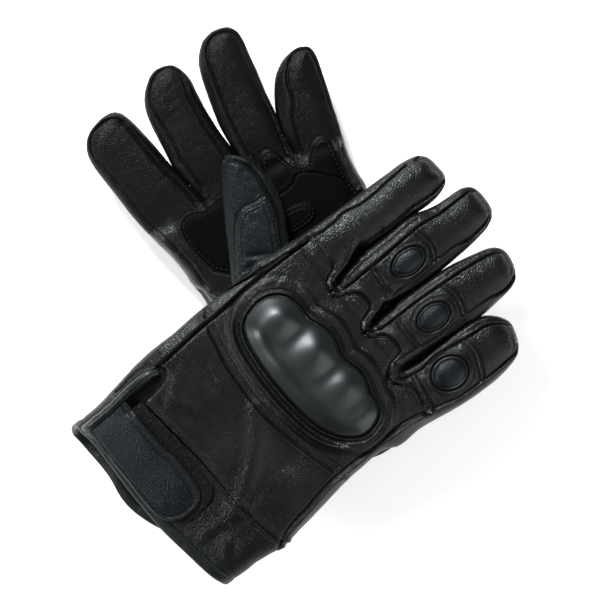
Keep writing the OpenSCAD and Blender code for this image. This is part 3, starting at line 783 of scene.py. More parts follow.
def grid_u(line):
    """u of a seam that crosses the hand, as a function of v."""
    o = np.argsort(line[:, 1])
    return lambda w: np.interp(w, line[o, 1], line[o, 0])


def grid_v(line):
    o = np.argsort(line[:, 0])
    return lambda u: np.interp(u, line[o, 0], line[o, 1])


HEM_TOP = flat([(-109.2, -73), (-109.8, -70), (-110.2, -68), (-111, -63), (-112, -55), (-113.2, -45), (-114.4, -35), (-115.2, -28), (-115.6, -20), (-115.6, 0),
                (-114.2, 20), (-113.6, 33), (-116, 40), (-116, 48)])
HEM_BOT = flat([(-102, -73), (-103, -70), (-104, -68), (-106, -60), (-108, -45), (-109.8, -35), (-112.8, -25), (-115.6, -18), (-117.8, -10), (-118.9, -2),
                (-118, 5), (-116.3, 12), (-116, 20), (-116.3, 30), (-116, 40), (-115.5, 48)], w=0.0)


def hem_shift(p):
    """The hem isn't straight: how far each point near the mouth moves along the hand."""
    top = np.interp(p[:, 1], HEM_TOP[:, 1], HEM_TOP[:, 0]) + 119.9
    bot = np.interp(p[:, 1], HEM_BOT[:, 1], HEM_BOT[:, 0]) + 119.9
    k = smooth01(p[:, 2], 4, 16)
    return (top * k + bot * (1 - k)) * np.clip((-p[:, 0] - 72) / 46.4, 0, 1.05)


class Heights:
    """A smoothed map of the skin's top or bottom, to lay patches on."""

    def __init__(self, tree, top, blur=3):
        self.u0, self.v0, self.s = -118.0, -80.0, 1.5
        nu, nv = int(246 / self.s), int(136 / self.s)
        z = np.full((nu, nv), np.nan)
        for i in range(nu):
            for j in range(nv):
                h = tree.ray_cast(Vector((self.u0 + i * self.s, self.v0 + j * self.s, 60.0 if top else -60.0)), Vector((0, 0, -1.0 if top else 1.0)))
                if h[0] is not None:
                    z[i, j] = h[0].z
        for _ in range(12):
            pad = np.pad(z, 1, constant_values=np.nan)
            near = np.stack([pad[1 + a : nu + 1 + a, 1 + b : nv + 1 + b] for a in (-1, 0, 1) for b in (-1, 0, 1)])
            ok = ~np.isnan(near)
            mean = np.where(ok, near, 0).sum(0) / np.maximum(ok.sum(0), 1)
            z = np.where(np.isnan(z) & ok.any(0), mean, z)
        z = np.where(np.isnan(z), 10.0, z)
        for _ in range(blur):
            pad = np.pad(z, 1, mode="edge")
            z = sum(pad[1 + a : nu + 1 + a, 1 + b : nv + 1 + b] for a in (-1, 0, 1) for b in (-1, 0, 1)) / 9
        self.z = z

    def __call__(self, u, w):
        a = np.clip((np.asarray(u) - self.u0) / self.s, 0, self.z.shape[0] - 1.001)
        b = np.clip((np.asarray(w) - self.v0) / self.s, 0, self.z.shape[1] - 1.001)
        i, j = a.astype(int), b.astype(int)
        f, g = a - i, b - j
        z = self.z
        return (z[i, j] * (1 - f) + z[i + 1, j] * f) * (1 - g) + (z[i, j + 1] * (1 - f) + z[i + 1, j + 1] * f) * g


def plate(outline, half, e, h, n=2.6, levels=1):
    """A flat patch with rounded edges, lying at z = 0."""
    pts = np.asarray(outline)
    lo, hi = pts.min(0) - 2 * h - 1, pts.max(0) + 2 * h + 1
    ax = [np.arange(lo[0], hi[0], h), np.arange(lo[1], hi[1], h), np.arange(-half - 2.5 * h, half + 2.6 * h, h)]
    p = np.stack(np.meshgrid(ax[0], ax[1], indexing="ij"), -1)
    d2 = sd_poly(p, pts)
    r = (np.maximum(d2 + e, 0) / e)[:, :, None]
    f = (r**n + (np.abs(ax[2])[None, None, :] / half) ** n) ** (1 / n) - 1
    f = f * min(e, half)
    v, q, _ = surface_nets(f, np.array([lo[0], lo[1], ax[2][0]]), h)
    v = relax(v, q, 2, 0.4)
    if levels:
        v, q = subdivide(v, q, levels)
    return v, q


def capsules(a, b, nrm, r):
    """Short raised stitches between each a and b, sunk at both ends."""
    a, b, nrm = (np.asarray(x, float) for x in (a, b, nrm))
    d = b - a
    t = d / (np.linalg.norm(d, axis=1)[:, None] + 1e-9)
    s = np.cross(nrm, t)
    s /= np.linalg.norm(s, axis=1)[:, None] + 1e-9
    m = np.cross(t, s)
    rings = []
    for f, k, lift in ((0.0, 0.4, -0.9), (0.18, 0.95, 0.2), (0.5, 1.0, 0.35), (0.82, 0.95, 0.2), (1.0, 0.4, -0.9)):
        c = a + d * f + m * r * lift
        for j in range(6):
            g = math.pi / 3 * j
            rings.append(c + r * k * (math.cos(g) * s + math.sin(g) * m))
    v = np.stack(rings, 1)
    one = []
    for k in range(4):
        for j in range(6):
            one.append((k * 6 + j, k * 6 + (j + 1) % 6, (k + 1) * 6 + (j + 1) % 6, (k + 1) * 6 + j))
    one += [(3, 2, 1, 0), (5, 4, 3, 0), (24, 25, 26, 27), (24, 27, 28, 29)]
    f = np.array(one)[None] + (np.arange(len(a)) * 30)[:, None, None]
    return v.reshape(-1, 3), f.reshape(-1, 4)


class Thread:
    def __init__(self):
        self.v, self.f, self.n = [], [], 0

    def add(self, v, f):
        self.v.append(v)
        self.f.append(f + self.n)
        self.n += len(v)

    def mesh(self):
        return np.vstack(self.v), np.vstack(self.f)


def cast(tree, uv, top):
    pts, nrm, ok = [], [], []
    z, d = (60.0, Vector((0, 0, -1))) if top else (-60.0, Vector((0, 0, 1)))
    for a in uv:
        h = tree.ray_cast(Vector((a[0], a[1], z)), d)
        ok.append(h[0] is not None)
        pts.append(tuple(h[0]) if h[0] is not None else (a[0], a[1], 0))
        n = h[1] if h[0] is not None else Vector((0, 0, 1))
        if n.z * (1 if top else -1) < 0:
            n = -n
        nrm.append(tuple(n))
    return np.array(pts), np.array(nrm), np.array(ok)


def sew(thread, tree, line, top, step=3.0, share=0.68, r=0.3, closed=False, lift=0.05):
    """Stitches along a line in the plane of the glove, dropped on the skin."""
    q = resample(line, step, closed)
    if closed:
        q = np.vstack([q, q[:1]])
    a = q[:-1] + (q[1:] - q[:-1]) * (1 - share) / 2
    b = q[1:] - (q[1:] - q[:-1]) * (1 - share) / 2
    pa, na, oa = cast(tree, a, top)
    pb, nb, ob = cast(tree, b, top)
    n = na + nb
    n /= np.linalg.norm(n, axis=1)[:, None]
    ok = oa & ob & (np.linalg.norm(pa - pb, axis=1) < step * 1.6) & (np.abs(n[:, 2]) > 0.25)
    if ok.any():
        thread.add(*capsules((pa + n * lift)[ok], (pb + n * lift)[ok], n[ok], r))


def tube(path, radius, sides=10, closed=False, flat=None):
    """A round or flattened tube along a path, quads."""
    p = np.asarray(path, float)
    t = (np.roll(p, -1, 0) - np.roll(p, 1, 0)) if closed else np.gradient(p, axis=0)
    t /= np.linalg.norm(t, axis=1)[:, None] + 1e-9
    up = np.array([0, 0, 1.0]) if flat is None else flat
    s = np.cross(t, up)
    s /= np.linalg.norm(s, axis=1)[:, None] + 1e-9
    m = np.cross(s, t)
    r = np.broadcast_to(np.asarray(radius, float), (len(p),))
    v = np.stack([p + r[:, None] * (math.cos(2 * math.pi * j / sides) * s + math.sin(2 * math.pi * j / sides) * m) for j in range(sides)], 1)
    n = len(p)
    f = []
    for i in range(n if closed else n - 1):
        for j in range(sides):
            f.append((i * sides + j, i * sides + (j + 1) % sides, ((i + 1) % n) * sides + (j + 1) % sides, ((i + 1) % n) * sides + j))
    v = v.reshape(-1, 3)
    f = np.array(f)[:, ::-1]
    if not closed:
        v = np.vstack([v, p[:1], p[-1:]])
        a, b = n * sides, n * sides + 1
        caps = [(a, j, (j + 1) % sides, a) for j in range(sides)]
        return v, f, (a, b, sides, n)
    return v, f, None


def emit(name, side, v, f, mat, body=None, nodes=(), slot=None, mix=None, stiff=False, keep_normals=None, fill=None):
    """Puts a piece made in the glove frame into the scene."""
    p = rigid(v, side) if stiff else place(v, side)
    if side == "left":
        f = np.ascontiguousarray(f[:, ::-1])
    me = new_mesh(f"{side}.{name}", p, f)
    ob = add_object(f"{side}.{name}", me, mat)
    if keep_normals is not None and len(me.vertices) == len(keep_normals):
        me.normals_split_custom_set_from_vertices([tuple(x) for x in keep_normals])
    if mix:
        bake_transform(ob)
    else:
        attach(ob, body)
    if nodes:
        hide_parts(*[f"{side}_{x}" for x in nodes])
    return ob


# ---------------------------------------------------------------- materials
def nodes_of(name):
    m = bpy.data.materials.new(name)
    m.use_nodes = True
    nt = m.node_tree
    b = nt.nodes["Principled BSDF"]
    return m, nt, b


def add(nt, kind, **sockets):
    n = nt.nodes.new(kind)
    for k, v in sockets.items():
        n.inputs[k.replace("_", " ")].default_value = v
    return n


def leather(name, colour, rough, cell=1.1, depth=0.10, crease=0.5, spec=0.5, tint=(0.92, 0.98, 1.0)):
    m, nt, b = nodes_of(name)
    co = nt.nodes.new("ShaderNodeTexCoord")
    warp = add(nt, "ShaderNodeTexNoise", Scale=220.0, Detail=2.0)
    nt.links.new(co.outputs["Object"], warp.inputs["Vector"])
    shift = nt.nodes.new("ShaderNodeVectorMath")
    shift.operation = "MULTIPLY_ADD"
    nt.links.new(warp.outputs["Color"], shift.inputs[0])
    shift.inputs[1].default_value = (0.0012, 0.0012, 0.0012)
    nt.links.new(co.outputs["Object"], shift.inputs[2])
    vor = nt.nodes.new("ShaderNodeTexVoronoi")
    vor.feature = "DISTANCE_TO_EDGE"
    vor.inputs["Scale"].default_value = 1000.0 / cell
    nt.links.new(shift.outputs[0], vor.inputs["Vector"])
    edge = add(nt, "ShaderNodeMapRange", From_Min=0.0, From_Max=0.3, To_Min=0.0, To_Max=1.0)
    nt.links.new(vor.outputs["Distance"], edge.inputs["Value"])
    fine = add(nt, "ShaderNodeTexNoise", Scale=900.0, Detail=2.0, Roughness=0.5)
    nt.links.new(co.outputs["Object"], fine.inputs["Vector"])
    mid = add(nt, "ShaderNodeTexNoise", Scale=190.0, Detail=4.0, Roughness=0.62)
    nt.links.new(co.outputs["Object"], mid.inputs["Vector"])
    s1 = nt.nodes.new("ShaderNodeMath")
    s1.operation = "MULTIPLY_ADD"
    nt.links.new(fine.outputs["Fac"], s1.inputs[0])
    s1.inputs[1].default_value = 0.9
    nt.links.new(edge.outputs["Result"], s1.inputs[2])
    s2 = nt.nodes.new("ShaderNodeMath")
    s2.operation = "MULTIPLY_ADD"
    nt.links.new(mid.outputs["Fac"], s2.inputs[0])
    s2.inputs[1].default_value = crease * 3.0
    nt.links.new(s1.outputs[0], s2.inputs[2])
    bump = add(nt, "ShaderNodeBump", Strength=1.0, Distance=depth * MM)
    nt.links.new(s2.outputs[0], bump.inputs["Height"])
    nt.links.new(bump.outputs["Normal"], b.inputs["Normal"])
    big = add(nt, "ShaderNodeTexNoise", Scale=28.0, Detail=4.0)
    nt.links.new(co.outputs["Object"], big.inputs["Vector"])
    r = add(nt, "ShaderNodeMapRange", From_Min=0.3, From_Max=0.7, To_Min=rough - 0.07, To_Max=rough + 0.08)
    nt.links.new(big.outputs["Fac"], r.inputs["Value"])
    nt.links.new(r.outputs["Result"], b.inputs["Roughness"])
    ramp = nt.nodes.new("ShaderNodeMix")
    ramp.data_type = "RGBA"
    c = np.array(colour)
    ramp.inputs[6].default_value = tuple(c * 0.7) + (1,)
    ramp.inputs[7].default_value = tuple(c * 1.35) + (1,)
    nt.links.new(mid.outputs["Fac"], ramp.inputs[0])
    nt.links.new(ramp.outputs[2], b.inputs["Base Color"])
    b.inputs["Specular IOR Level"].default_value = spec
    b.inputs["Specular Tint"].default_value = tuple(tint) + (1,)
    return m


def plastic(name, colour, rough, spec=0.5):
    m, nt, b = nodes_of(name)
    co = nt.nodes.new("ShaderNodeTexCoord")
    n = add(nt, "ShaderNodeTexNoise", Scale=60.0, Detail=3.0)
    nt.links.new(co.outputs["Object"], n.inputs["Vector"])
    g = add(nt, "ShaderNodeTexNoise", Scale=2400.0, Detail=2.0)
    nt.links.new(co.outputs["Object"], g.inputs["Vector"])
    r = add(nt, "ShaderNodeMapRange", From_Min=0.3, From_Max=0.7, To_Min=rough - 0.03, To_Max=rough + 0.05)
    nt.links.new(n.outputs["Fac"], r.inputs["Value"])
    nt.links.new(r.outputs["Result"], b.inputs["Roughness"])
    bump = add(nt, "ShaderNodeBump", Strength=0.5, Distance=0.02 * MM)
    nt.links.new(g.outputs["Fac"], bump.inputs["Height"])
    nt.links.new(bump.outputs["Normal"], b.inputs["Normal"])
    mix = nt.nodes.new("ShaderNodeMix")
    mix.data_type = "RGBA"
    c = np.array(colour)
    mix.inputs[6].default_value = tuple(c * 0.8) + (1,)
    mix.inputs[7].default_value = tuple(c * 1.2) + (1,)
    nt.links.new(n.outputs["Fac"], mix.inputs[0])
    nt.links.new(mix.outputs[2], b.inputs["Base Color"])
    b.inputs["Specular IOR Level"].default_value = spec
    b.inputs["Specular Tint"].default_value = (0.88, 0.98, 1.0, 1)
    return m


def cloth(name, dark, light, scale, depth, rough=0.95):
    m, nt, b = nodes_of(name)
    co = nt.nodes.new("ShaderNodeTexCoord")
    n = add(nt, "ShaderNodeTexNoise", Scale=scale, Detail=5.0, Roughness=0.7)
    nt.links.new(co.outputs["Object"], n.inputs["Vector"])
    v = nt.nodes.new("ShaderNodeTexVoronoi")
    v.inputs["Scale"].default_value = scale * 0.8
    nt.links.new(co.outputs["Object"], v.inputs["Vector"])
    mr = add(nt, "ShaderNodeMapRange", From_Min=0.55, From_Max=0.75)
    nt.links.new(n.outputs["Fac"], mr.inputs["Value"])
    mix = nt.nodes.new("ShaderNodeMix")
    mix.data_type = "RGBA"
    mix.inputs[6].default_value = tuple(dark) + (1,)
    mix.inputs[7].default_value = tuple(light) + (1,)
    nt.links.new(mr.outputs["Result"], mix.inputs[0])
    nt.links.new(mix.outputs[2], b.inputs["Base Color"])
    s = nt.nodes.new("ShaderNodeMath")
    s.operation = "SUBTRACT"
    nt.links.new(n.outputs["Fac"], s.inputs[0])
    nt.links.new(v.outputs["Distance"], s.inputs[1])
    bump = add(nt, "ShaderNodeBump", Strength=1.0, Distance=depth * MM)
    nt.links.new(s.outputs[0], bump.inputs["Height"])
    nt.links.new(bump.outputs["Normal"], b.inputs["Normal"])
    b.inputs["Roughness"].default_value = rough
    b.inputs["Specular IOR Level"].default_value = 0.15
    return m


LEATHER = leather("leather", (0.0018, 0.0019, 0.0022), 0.345, cell=1.15, depth=0.095, crease=0.12, spec=0.225)
PATCH = leather("patch leather", (0.0018, 0.0021, 0.0025), 0.40, cell=1.15, depth=0.085, crease=0.3, spec=0.2, tint=(0.8, 0.95, 1.0))
# painted shade: a darker, less glossy copy of the leather for the thumb, pulling down the light that its tilted surface
# catches
THUMB_SHADED_MAT = leather("thumb leather darkened for shade", (0.0016, 0.0019, 0.0022), 0.38, cell=1.3, depth=0.08, crease=0.2, spec=0.135, tint=(0.84, 0.96, 1.0))
# painted shade: a darker, less glossy copy of the leather for the palm sides, standing in for the shade that the
# upturned palm of the lower glove lies in
PALM_SHADED_LEATHER = leather("palm leather", (0.0014, 0.0014, 0.0017), 0.44, cell=1.2, depth=0.10, crease=0.3, spec=0.10)
# painted shade: the palm patch is a near-black, almost unreflective copy of the patch leather, standing in for the
# shade in the hollow between the thumb and the glove lying over it
PALM_PATCH_SHADED_MAT = leather("palm patch leather darkened for shade", (0.0006, 0.0006, 0.0009), 0.55, cell=1.2, depth=0.06, crease=0.3, spec=0.03)
BINDING = leather("binding leather", (0.0024, 0.0027, 0.0031), 0.36, cell=1.2, depth=0.05, crease=0.2, spec=0.3, tint=(0.85, 0.97, 1.0))
GUARD_MAT = plastic("moulded guard", (0.0036, 0.0042, 0.0045), 0.40, spec=0.46)
THREAD_MAT = leather("thread", (0.005, 0.0054, 0.0064), 0.5, cell=0.5, depth=0.03, crease=0.2, spec=0.16)
LOOP = cloth("loop pile", (0.001, 0.001, 0.0012), (0.035, 0.036, 0.04), 1100.0, 0.5)
HOOK = cloth("hook tape", (0.003, 0.003, 0.0035), (0.01, 0.01, 0.011), 1200.0, 0.3, 0.6)
LINING = cloth("lining fabric", (0.003, 0.003, 0.0035), (0.009, 0.009, 0.01), 900.0, 0.25)


# ---------------------------------------------------------------- the skins
class Skin:
    pass


def build_skin(side):
    s = Skin()
    h = 1.1
    v, q, tag = glove_skin(side, h)
    v = relax(v, q, 4, 0.4)
    v, q = subdivide(v, q, 1)
    tag = np.repeat(tag, 4)
    n = vertex_normals(v, q)
    v[:, 0] += hem_shift(v)
    base = v.copy()
    d = folds(v, n, side) + hand_detail(v, n, side)
    dist = np.stack([sd_poly(v[:, :2], FINGER_OUT[side][i]) for i in range(4)], 1)
    own = np.argmin(dist, 1)
    lift = edge_rolls(v, n, side, own)
    gap = np.partition(dist, 1, axis=1)
    gap = gap[:, 1] - gap[:, 0]
    for i in range(4):
        own[np.unique(q[tag == i])] = i
    # the fingers' own lines stop at the contoured seam on the back
    ds, sg = d_line(v[:, :2], SEAM)
    sg = sg if sg[np.argmin(v[:, 0])] > 0 else -sg
    stop = 1 - smooth01(sg * ds, 0.3, 1.8) * smooth01(n[:, 2], 0.2, 0.5) * smooth01(-v[:, 1], -26, -20) * smooth01(v[:, 1], -60, -54)
    for i in range(4):
        m = own == i
        move, up = finger_detail(v[m], n[m], i, side, dist[m, i])
        # beyond the crotch each finger is a skin of its own
        alone = smooth01(to_finger(v[m], i, side)[:, 0], 12.5, 16)
        fade = np.maximum(smooth01(gap[m], 0.2, 2.4), alone) * stop[m]
        d[m] += move * fade
        lift[m] += up * fade
    v = v + n * d[:, None]
    v[:, 2] += lift
    s.base, s.v, s.q, s.tag, s.own, s.n0 = base, v, q, tag, own, n
    s.tree = BVHTree.FromPolygons(v.tolist(), q.tolist())
    s.placed = place(v, side)
    f = q[:, ::-1] if side == "left" else q
    s.normals = vertex_normals(s.placed, f)
    s.top, s.bottom = Heights(s.tree, True), Heights(s.tree, False)
    return s


def split_skin(s, side):
    """Which panel each face belongs to."""
    c = s.base[s.q].mean(1)
    fn = s.n0[s.q].mean(1)
    u, w = c[:, 0], c[:, 1]
    top = fn[:, 2] >= 0
    name = np.full(len(c), "palm", dtype="<U16")
    seam_u, knuckle_u, cuff_u = grid_u(SEAM), grid_u(KNUCKLE_SEAM), grid_u(CUFF_SEAM)
    rad, uln = grid_v(RADIAL), grid_v(ULNAR)
    rv = np.minimum(rad(u), 36.0) if side == "left" else rad(u)
    name[top] = "back"
    name[top & (u < knuckle_u(w))] = "wrist"
    dg = sd_poly(c[:, :2], GUARD)
    name[top & (dg < 3.5)] = "foam_bed"
    name[~top & (sd_poly(c[:, :2], PALM_PATCH) < 0)] = "palm_patch"
    out_top = top & ((w > rv) | (w < uln(u)))
    out_bot = ~top & ((w > rv - 2) | (w < uln(u) + 2))
    name[out_top | out_bot] = "sides"
    cuff = u < np.where(top, cuff_u(w), -76.0)
    name[cuff & top] = "cuff_back"
    name[cuff & ~top] = "cuff_palm"
    own = s.own[s.q[:, 0]]
    x = np.stack([to_finger(c, i, side)[:, 0] for i in range(4)], 1)[np.arange(len(c)), own]
    # the contoured seam on the back; a straight joint in the walls and on the palm side
    past = np.where(top, u > seam_u(w), x > 3)
    past |= s.tag >= 0
    past &= u > 20
    for i in range(4):
        name[past & (own == i)] = f"finger{i}"
    return name


def finger_mix(i, side):
    b = f_bend(i, side)
    ends = place(from_finger([[b - 7.0, 0, 8.0], [b + 7.0, 0, 8.0]], i, side, tip=False), side)
    return (f"{side}_hand", f"{side}_{FINGERS[i]}_tip", tuple(ends[0]), tuple(ends[1]))


SKIN_PARTS = {
    "back": ("hand_back_panel", "leather"), "wrist": ("wrist_back_panel", "leather"), "foam_bed": ("guard_foam", "leather"),
    "palm": ("palm_panel", "leather"), "palm_patch": ("palm_patch", "patch_leather"), "sides": ("side_gussets", "leather"),
    "cuff_back": ("cuff_back", "leather"), "cuff_palm": ("cuff_palm", "leather"),
}


def emit_skin(s, side):
    name = split_skin(s, side)
    q = s.q
    for part in list(SKIN_PARTS) + [f"finger{i}" for i in range(4)]:
        m = name == part
        if not m.any():
            continue
        used, inv = np.unique(q[m], return_inverse=True)
        f = inv.reshape(-1, 4)
        if part.startswith("finger"):
            i = int(part[-1])
            ob = emit(f"{FINGERS[i]}_finger", side, s.v[used], f, LEATHER, nodes=(f"{FINGERS[i]}_base_sleeve", f"{FINGERS[i]}_tip_sleeve"),
                      slot="leather", mix=finger_mix(i, side))
            # the palm-side faces of each finger take the leather darkened as painted shade
            ob.data.materials.append(PALM_SHADED_LEATHER)
            ob.data.polygons.foreach_set("material_index", (s.n0[q[m]].mean(1)[:, 2] < -0.12).astype(np.int32))
        else:
            node, sl = SKIN_PARTS[part]
            # the palm and cuff palm panels take the leather darkened as painted shade, and the palm patch takes the
            # patch leather darkened as painted shade
            emit(part, side, s.v[used], f, {"palm_patch": PALM_PATCH_SHADED_MAT, "palm": PALM_SHADED_LEATHER, "cuff_palm": PALM_SHADED_LEATHER}.get(part, LEATHER), body=f"{side}_hand", nodes=(node,), slot=sl,
                 keep_normals=s.normals[used], fill=0.8 if part == "foam_bed" else None)


def build_lining(s, side):
    c = s.base[s.q].mean(1)
    m = (s.tag < 0) & (c[:, 0] < -30)
    used, inv = np.unique(s.q[m], return_inverse=True)
    v = s.base[used] - s.n0[used] * 2.2
    emit("lining", side, v, inv.reshape(-1, 4)[:, ::-1], LINING, body=f"{side}_hand", nodes=("lining",), slot="lining_fabric")


# ---------------------------------------------------------------- guard
# creases of the moulding, and where each hump's crest lies between its two creases
HUMPS = [(50.0, 6.9, 2.1, 1.0), (6.9, -19.4, 0.97, 1.0), (-19.4, -42.5, 0.72, 0.76), (-42.5, -80.0, 0.4, 0.6)]


def guard_top(u, w, d):
    t = np.clip(-d / 12.5, 0, 1)
    g = np.linspace(40, -66, 1061)
    prof = np.zeros_like(g)
    for a, b, k, top in HUMPS:
        x = np.clip((a - g) / (a - b), 0, 1)
        prof = np.maximum(prof, top * np.sin(np.pi * x**k) ** 1.1)
    kern = np.exp(-((np.arange(-60, 61) * 0.1 / 1.9) ** 2) / 2)
    prof = np.convolve(prof, kern / kern.sum(), mode="same")
    m = np.interp(-w, -g, prof)
    amp = 5.6 * smooth01(u, -13, 7) * smooth01(t, 0.0, 0.7)
    z = 6.4 * (1 - (1 - t) ** 2.5) + amp * (m - 0.75)
    z = z + 0.5 * np.exp(-(((u - 1) / 9) ** 2) - (((w - 18) / 9) ** 2)) * smooth01(t, 0, 0.5)
    z = z + 0.9 * np.exp(-(((u + 10) / 5) ** 2) - (((w - 19) / 6) ** 2)) + 0.7 * np.exp(-(((u + 12) / 5) ** 2) - (((w - 1) / 8) ** 2))
    return 23.0 + z * (GUARD_TOP - 23.1) / max(float(z.max()), 0.1)


def build_guard(s, side):
    h = 0.75
    lo, hi = np.array([-26.0, -58.0, 18.0]), np.array([21.0, 36.0, 32.5])
    ax = [np.arange(lo[k], hi[k], h) for k in range(3)]
    p = np.stack(np.meshgrid(ax[0], ax[1], indexing="ij"), -1)
    d = sd_poly(p, GUARD)
    top = guard_top(p[..., 0], p[..., 1], d)
    # the moulding has no sharp crest anywhere
    kern = np.exp(-((np.arange(-9, 10) * h / 2.1) ** 2) / 2)
    kern /= kern.sum()
    for axis in (0, 1):
        wide = np.pad(top, [(9, 9) if k == axis else (0, 0) for k in (0, 1)], mode="edge")
        top = np.apply_along_axis(lambda r: np.convolve(r, kern, mode="valid"), axis, wide)
    top += GUARD_TOP - 0.1 - top.max()
    a = (ax[2][None, None, :] - top[:, :, None])
    b = np.broadcast_to(d[:, :, None], a.shape)
    c = np.broadcast_to(20.4 - ax[2][None, None, :], a.shape)
    k = 1.4
    f = -smin(-a, -b, k)
    f = np.maximum(f, c)
    v, q, _ = surface_nets(f, lo, h)
    v = relax(v, q, 2, 0.4)
    v, q = subdivide(v, q, 1)
    emit("guard", side, v, q, GUARD_MAT, body=f"{side}_hand", nodes=("knuckle_guard",), slot="guard_plastic", stiff=True)


# ---------------------------------------------------------------- patches, strap, thumb, stitches
STRAP = spline(flat([(-85.8, 39.5), (-85.2, 30), (-85, 15), (-84.8, 5), (-83.9, 0), (-83.5, -5), (-83.8, -12), (-84.6, -19), (-87, -24.5), (-91, -27.5), (-96, -28.2),
                     (-101, -27.8), (-106, -25.5), (-109.5, -21.5), (-111, -15), (-111.3, 0), (-110.9, 20), (-110.4, 30), (-109.8, 39.5), (-104, 40), (-94, 40)]), 4, closed=True)
LOOP_PATCH = spline(flat([(-79.8, 31), (-79.4, 20), (-78.8, 8), (-78.2, -4), (-77.9, -14), (-78.8, -22), (-81.5, -27.5), (-87, -30.6), (-94, -31.6), (-101, -31.2), (-106, -28),
                          (-108, -20), (-108.3, 0), (-108, 20), (-107.5, 31), (-100, 33), (-88, 33)]), 4, closed=True)


def build_cuff_parts(s, side):
    h = 0.9
    hand, strap = f"{side}_hand", f"{side}_strap"
    # loop patch
    v, q = plate(LOOP_PATCH, 0.75, 1.2, h * 0.8)
    v[:, 2] += s.top(v[:, 0], v[:, 1]) + 0.7 + 0.18 * noise(v, 2.2, 8) * (v[:, 2] > 0)
    emit("loop_patch", side, v, q, LOOP, body=hand, nodes=("loop_patch",), slot="loop_pile")
    # strap
    v, q = plate(STRAP, 1.15, 1.5, h * 0.8)
    up = v[:, 2] > 0
    d = sd_poly(v[:, :2], STRAP)
    v[:, 2] += up * (groove(np.abs(d + 2.6), 0.55, 0.6) + 0.25 * np.exp(-(((d + 1.2) / 0.9) ** 2)))
    v[:, 2] += 0.35 * fbm(np.c_[v[:, :2], np.zeros(len(v))], 26.0, 21, 2)
    z0 = np.maximum(s.top(v[:, 0], v[:, 1]), 17.0)
    v[:, 2] += z0 + 2.5 - 0.7 * smooth01(-v[:, 1], 14, 30)
    # the strap is sewn down at its root: two points across the root are passed along with it
    ends = place(np.array([[-98.0, 41.5, 21.0], [-98.0, 30.0, 21.0]]), side)
    mix = (hand, strap, tuple(ends[0]), tuple(ends[1]))
    emit("strap", side, v, q, PATCH, nodes=("strap",), slot="patch_leather", mix=mix)
    tree = BVHTree.FromPolygons(v.tolist(), q.tolist())
    t = Thread()
    inner = resample(np.array([p for p in STRAP]), 1.0, True)
    n2 = np.roll(inner, -1, 0) - np.roll(inner, 1, 0)
    n2 = np.stack([-n2[:, 1], n2[:, 0]], 1)
    n2 /= np.linalg.norm(n2, axis=1)[:, None]
    if sd_poly(inner[:1] + n2[:1], STRAP)[0] > 0:
        n2 = -n2
    for dd in (2.6,):
        sew(t, tree, inner + n2 * dd, True, step=3.0, r=0.3, closed=True)
    emit("strap_stitches", side, *t.mesh(), THREAD_MAT, mix=mix)
    # hook tape under the strap
    pts = spline(flat([(-88, 12), (-87, -16), (-91, -22), (-97, -24), (-104, -22), (-107.5, -14), (-107.5, 12)]), 5, closed=True)
    hv, hq = plate(pts, 0.35, 0.5, h, levels=0)
    hv[:, 2] += np.maximum(s.top(hv[:, 0], hv[:, 1]), 17.0) + 1.2
    emit("hook_patch", side, hv, hq, HOOK, body=strap, nodes=("hook_patch",), slot="hook_tape")


def hem_line(s):
    """Points round the mouth's edge, in order."""
    e = np.vstack([s.q[:, [k, (k + 1) % 4]] for k in range(4)])
    es = np.sort(e, 1)
    key, first, cnt = np.unique(es[:, 0] * len(s.v) + es[:, 1], return_index=True, return_counts=True)
    b = es[first[cnt == 1]]
    b = b[(s.base[b[:, 0], 0] < -90) & (s.base[b[:, 1], 0] < -90)]
    pts = s.v[np.unique(b)]
    c = np.array([pts[:, 1].mean(), 10.0])
    ang = np.arctan2((pts[:, 2] - c[1]) * 4.0, pts[:, 1] - c[0])
    p = pts[np.argsort(ang)]
    p = resample(p, 1.6, True)
    for _ in range(6):
        p = 0.5 * p + 0.25 * (np.roll(p, 1, 0) + np.roll(p, -1, 0))
    return p


def build_binding(s, side):
    p = hem_line(s)
    t = np.roll(p, -1, 0) - np.roll(p, 1, 0)
    t /= np.linalg.norm(t, axis=1)[:, None]
    ax = np.array([1.0, 0, 0])
    out = np.cross(t, ax)
    out /= np.linalg.norm(out, axis=1)[:, None]
    c = p.mean(0)
    if ((p - c) * out).sum() < 0:
        out = -out
    ring = []
    sides = 14
    for j in range(sides):
        a = 2 * math.pi * j / sides
        # a folded strip: a flattened loop, longer along the cuff than it is thick
        ring.append(p + ax * (3.3 * np.sign(math.cos(a)) * abs(math.cos(a)) ** 0.6 + 2.3) + out * (1.7 * np.sign(math.sin(a)) * abs(math.sin(a)) ** 0.5 - 0.8))
    v = np.stack(ring, 1).reshape(-1, 3)
    n = len(p)
    f = np.array([(i * sides + j, ((i + 1) % n) * sides + j, ((i + 1) % n) * sides + (j + 1) % sides, i * sides + (j + 1) % sides)
                  for i in range(n) for j in range(sides)])
    vol = (v[f[:, 0]] * np.cross(v[f[:, 1]], v[f[:, 2]])).sum() + (v[f[:, 0]] * np.cross(v[f[:, 2]], v[f[:, 3]])).sum()
    if vol < 0:
        f = f[:, ::-1]
    v += 0.12 * noise(v, 3.0, 31)[:, None]
    emit("binding", side, v, f, BINDING, body=f"{side}_hand", nodes=("cuff_binding",), slot="binding_leather")
    return p, out


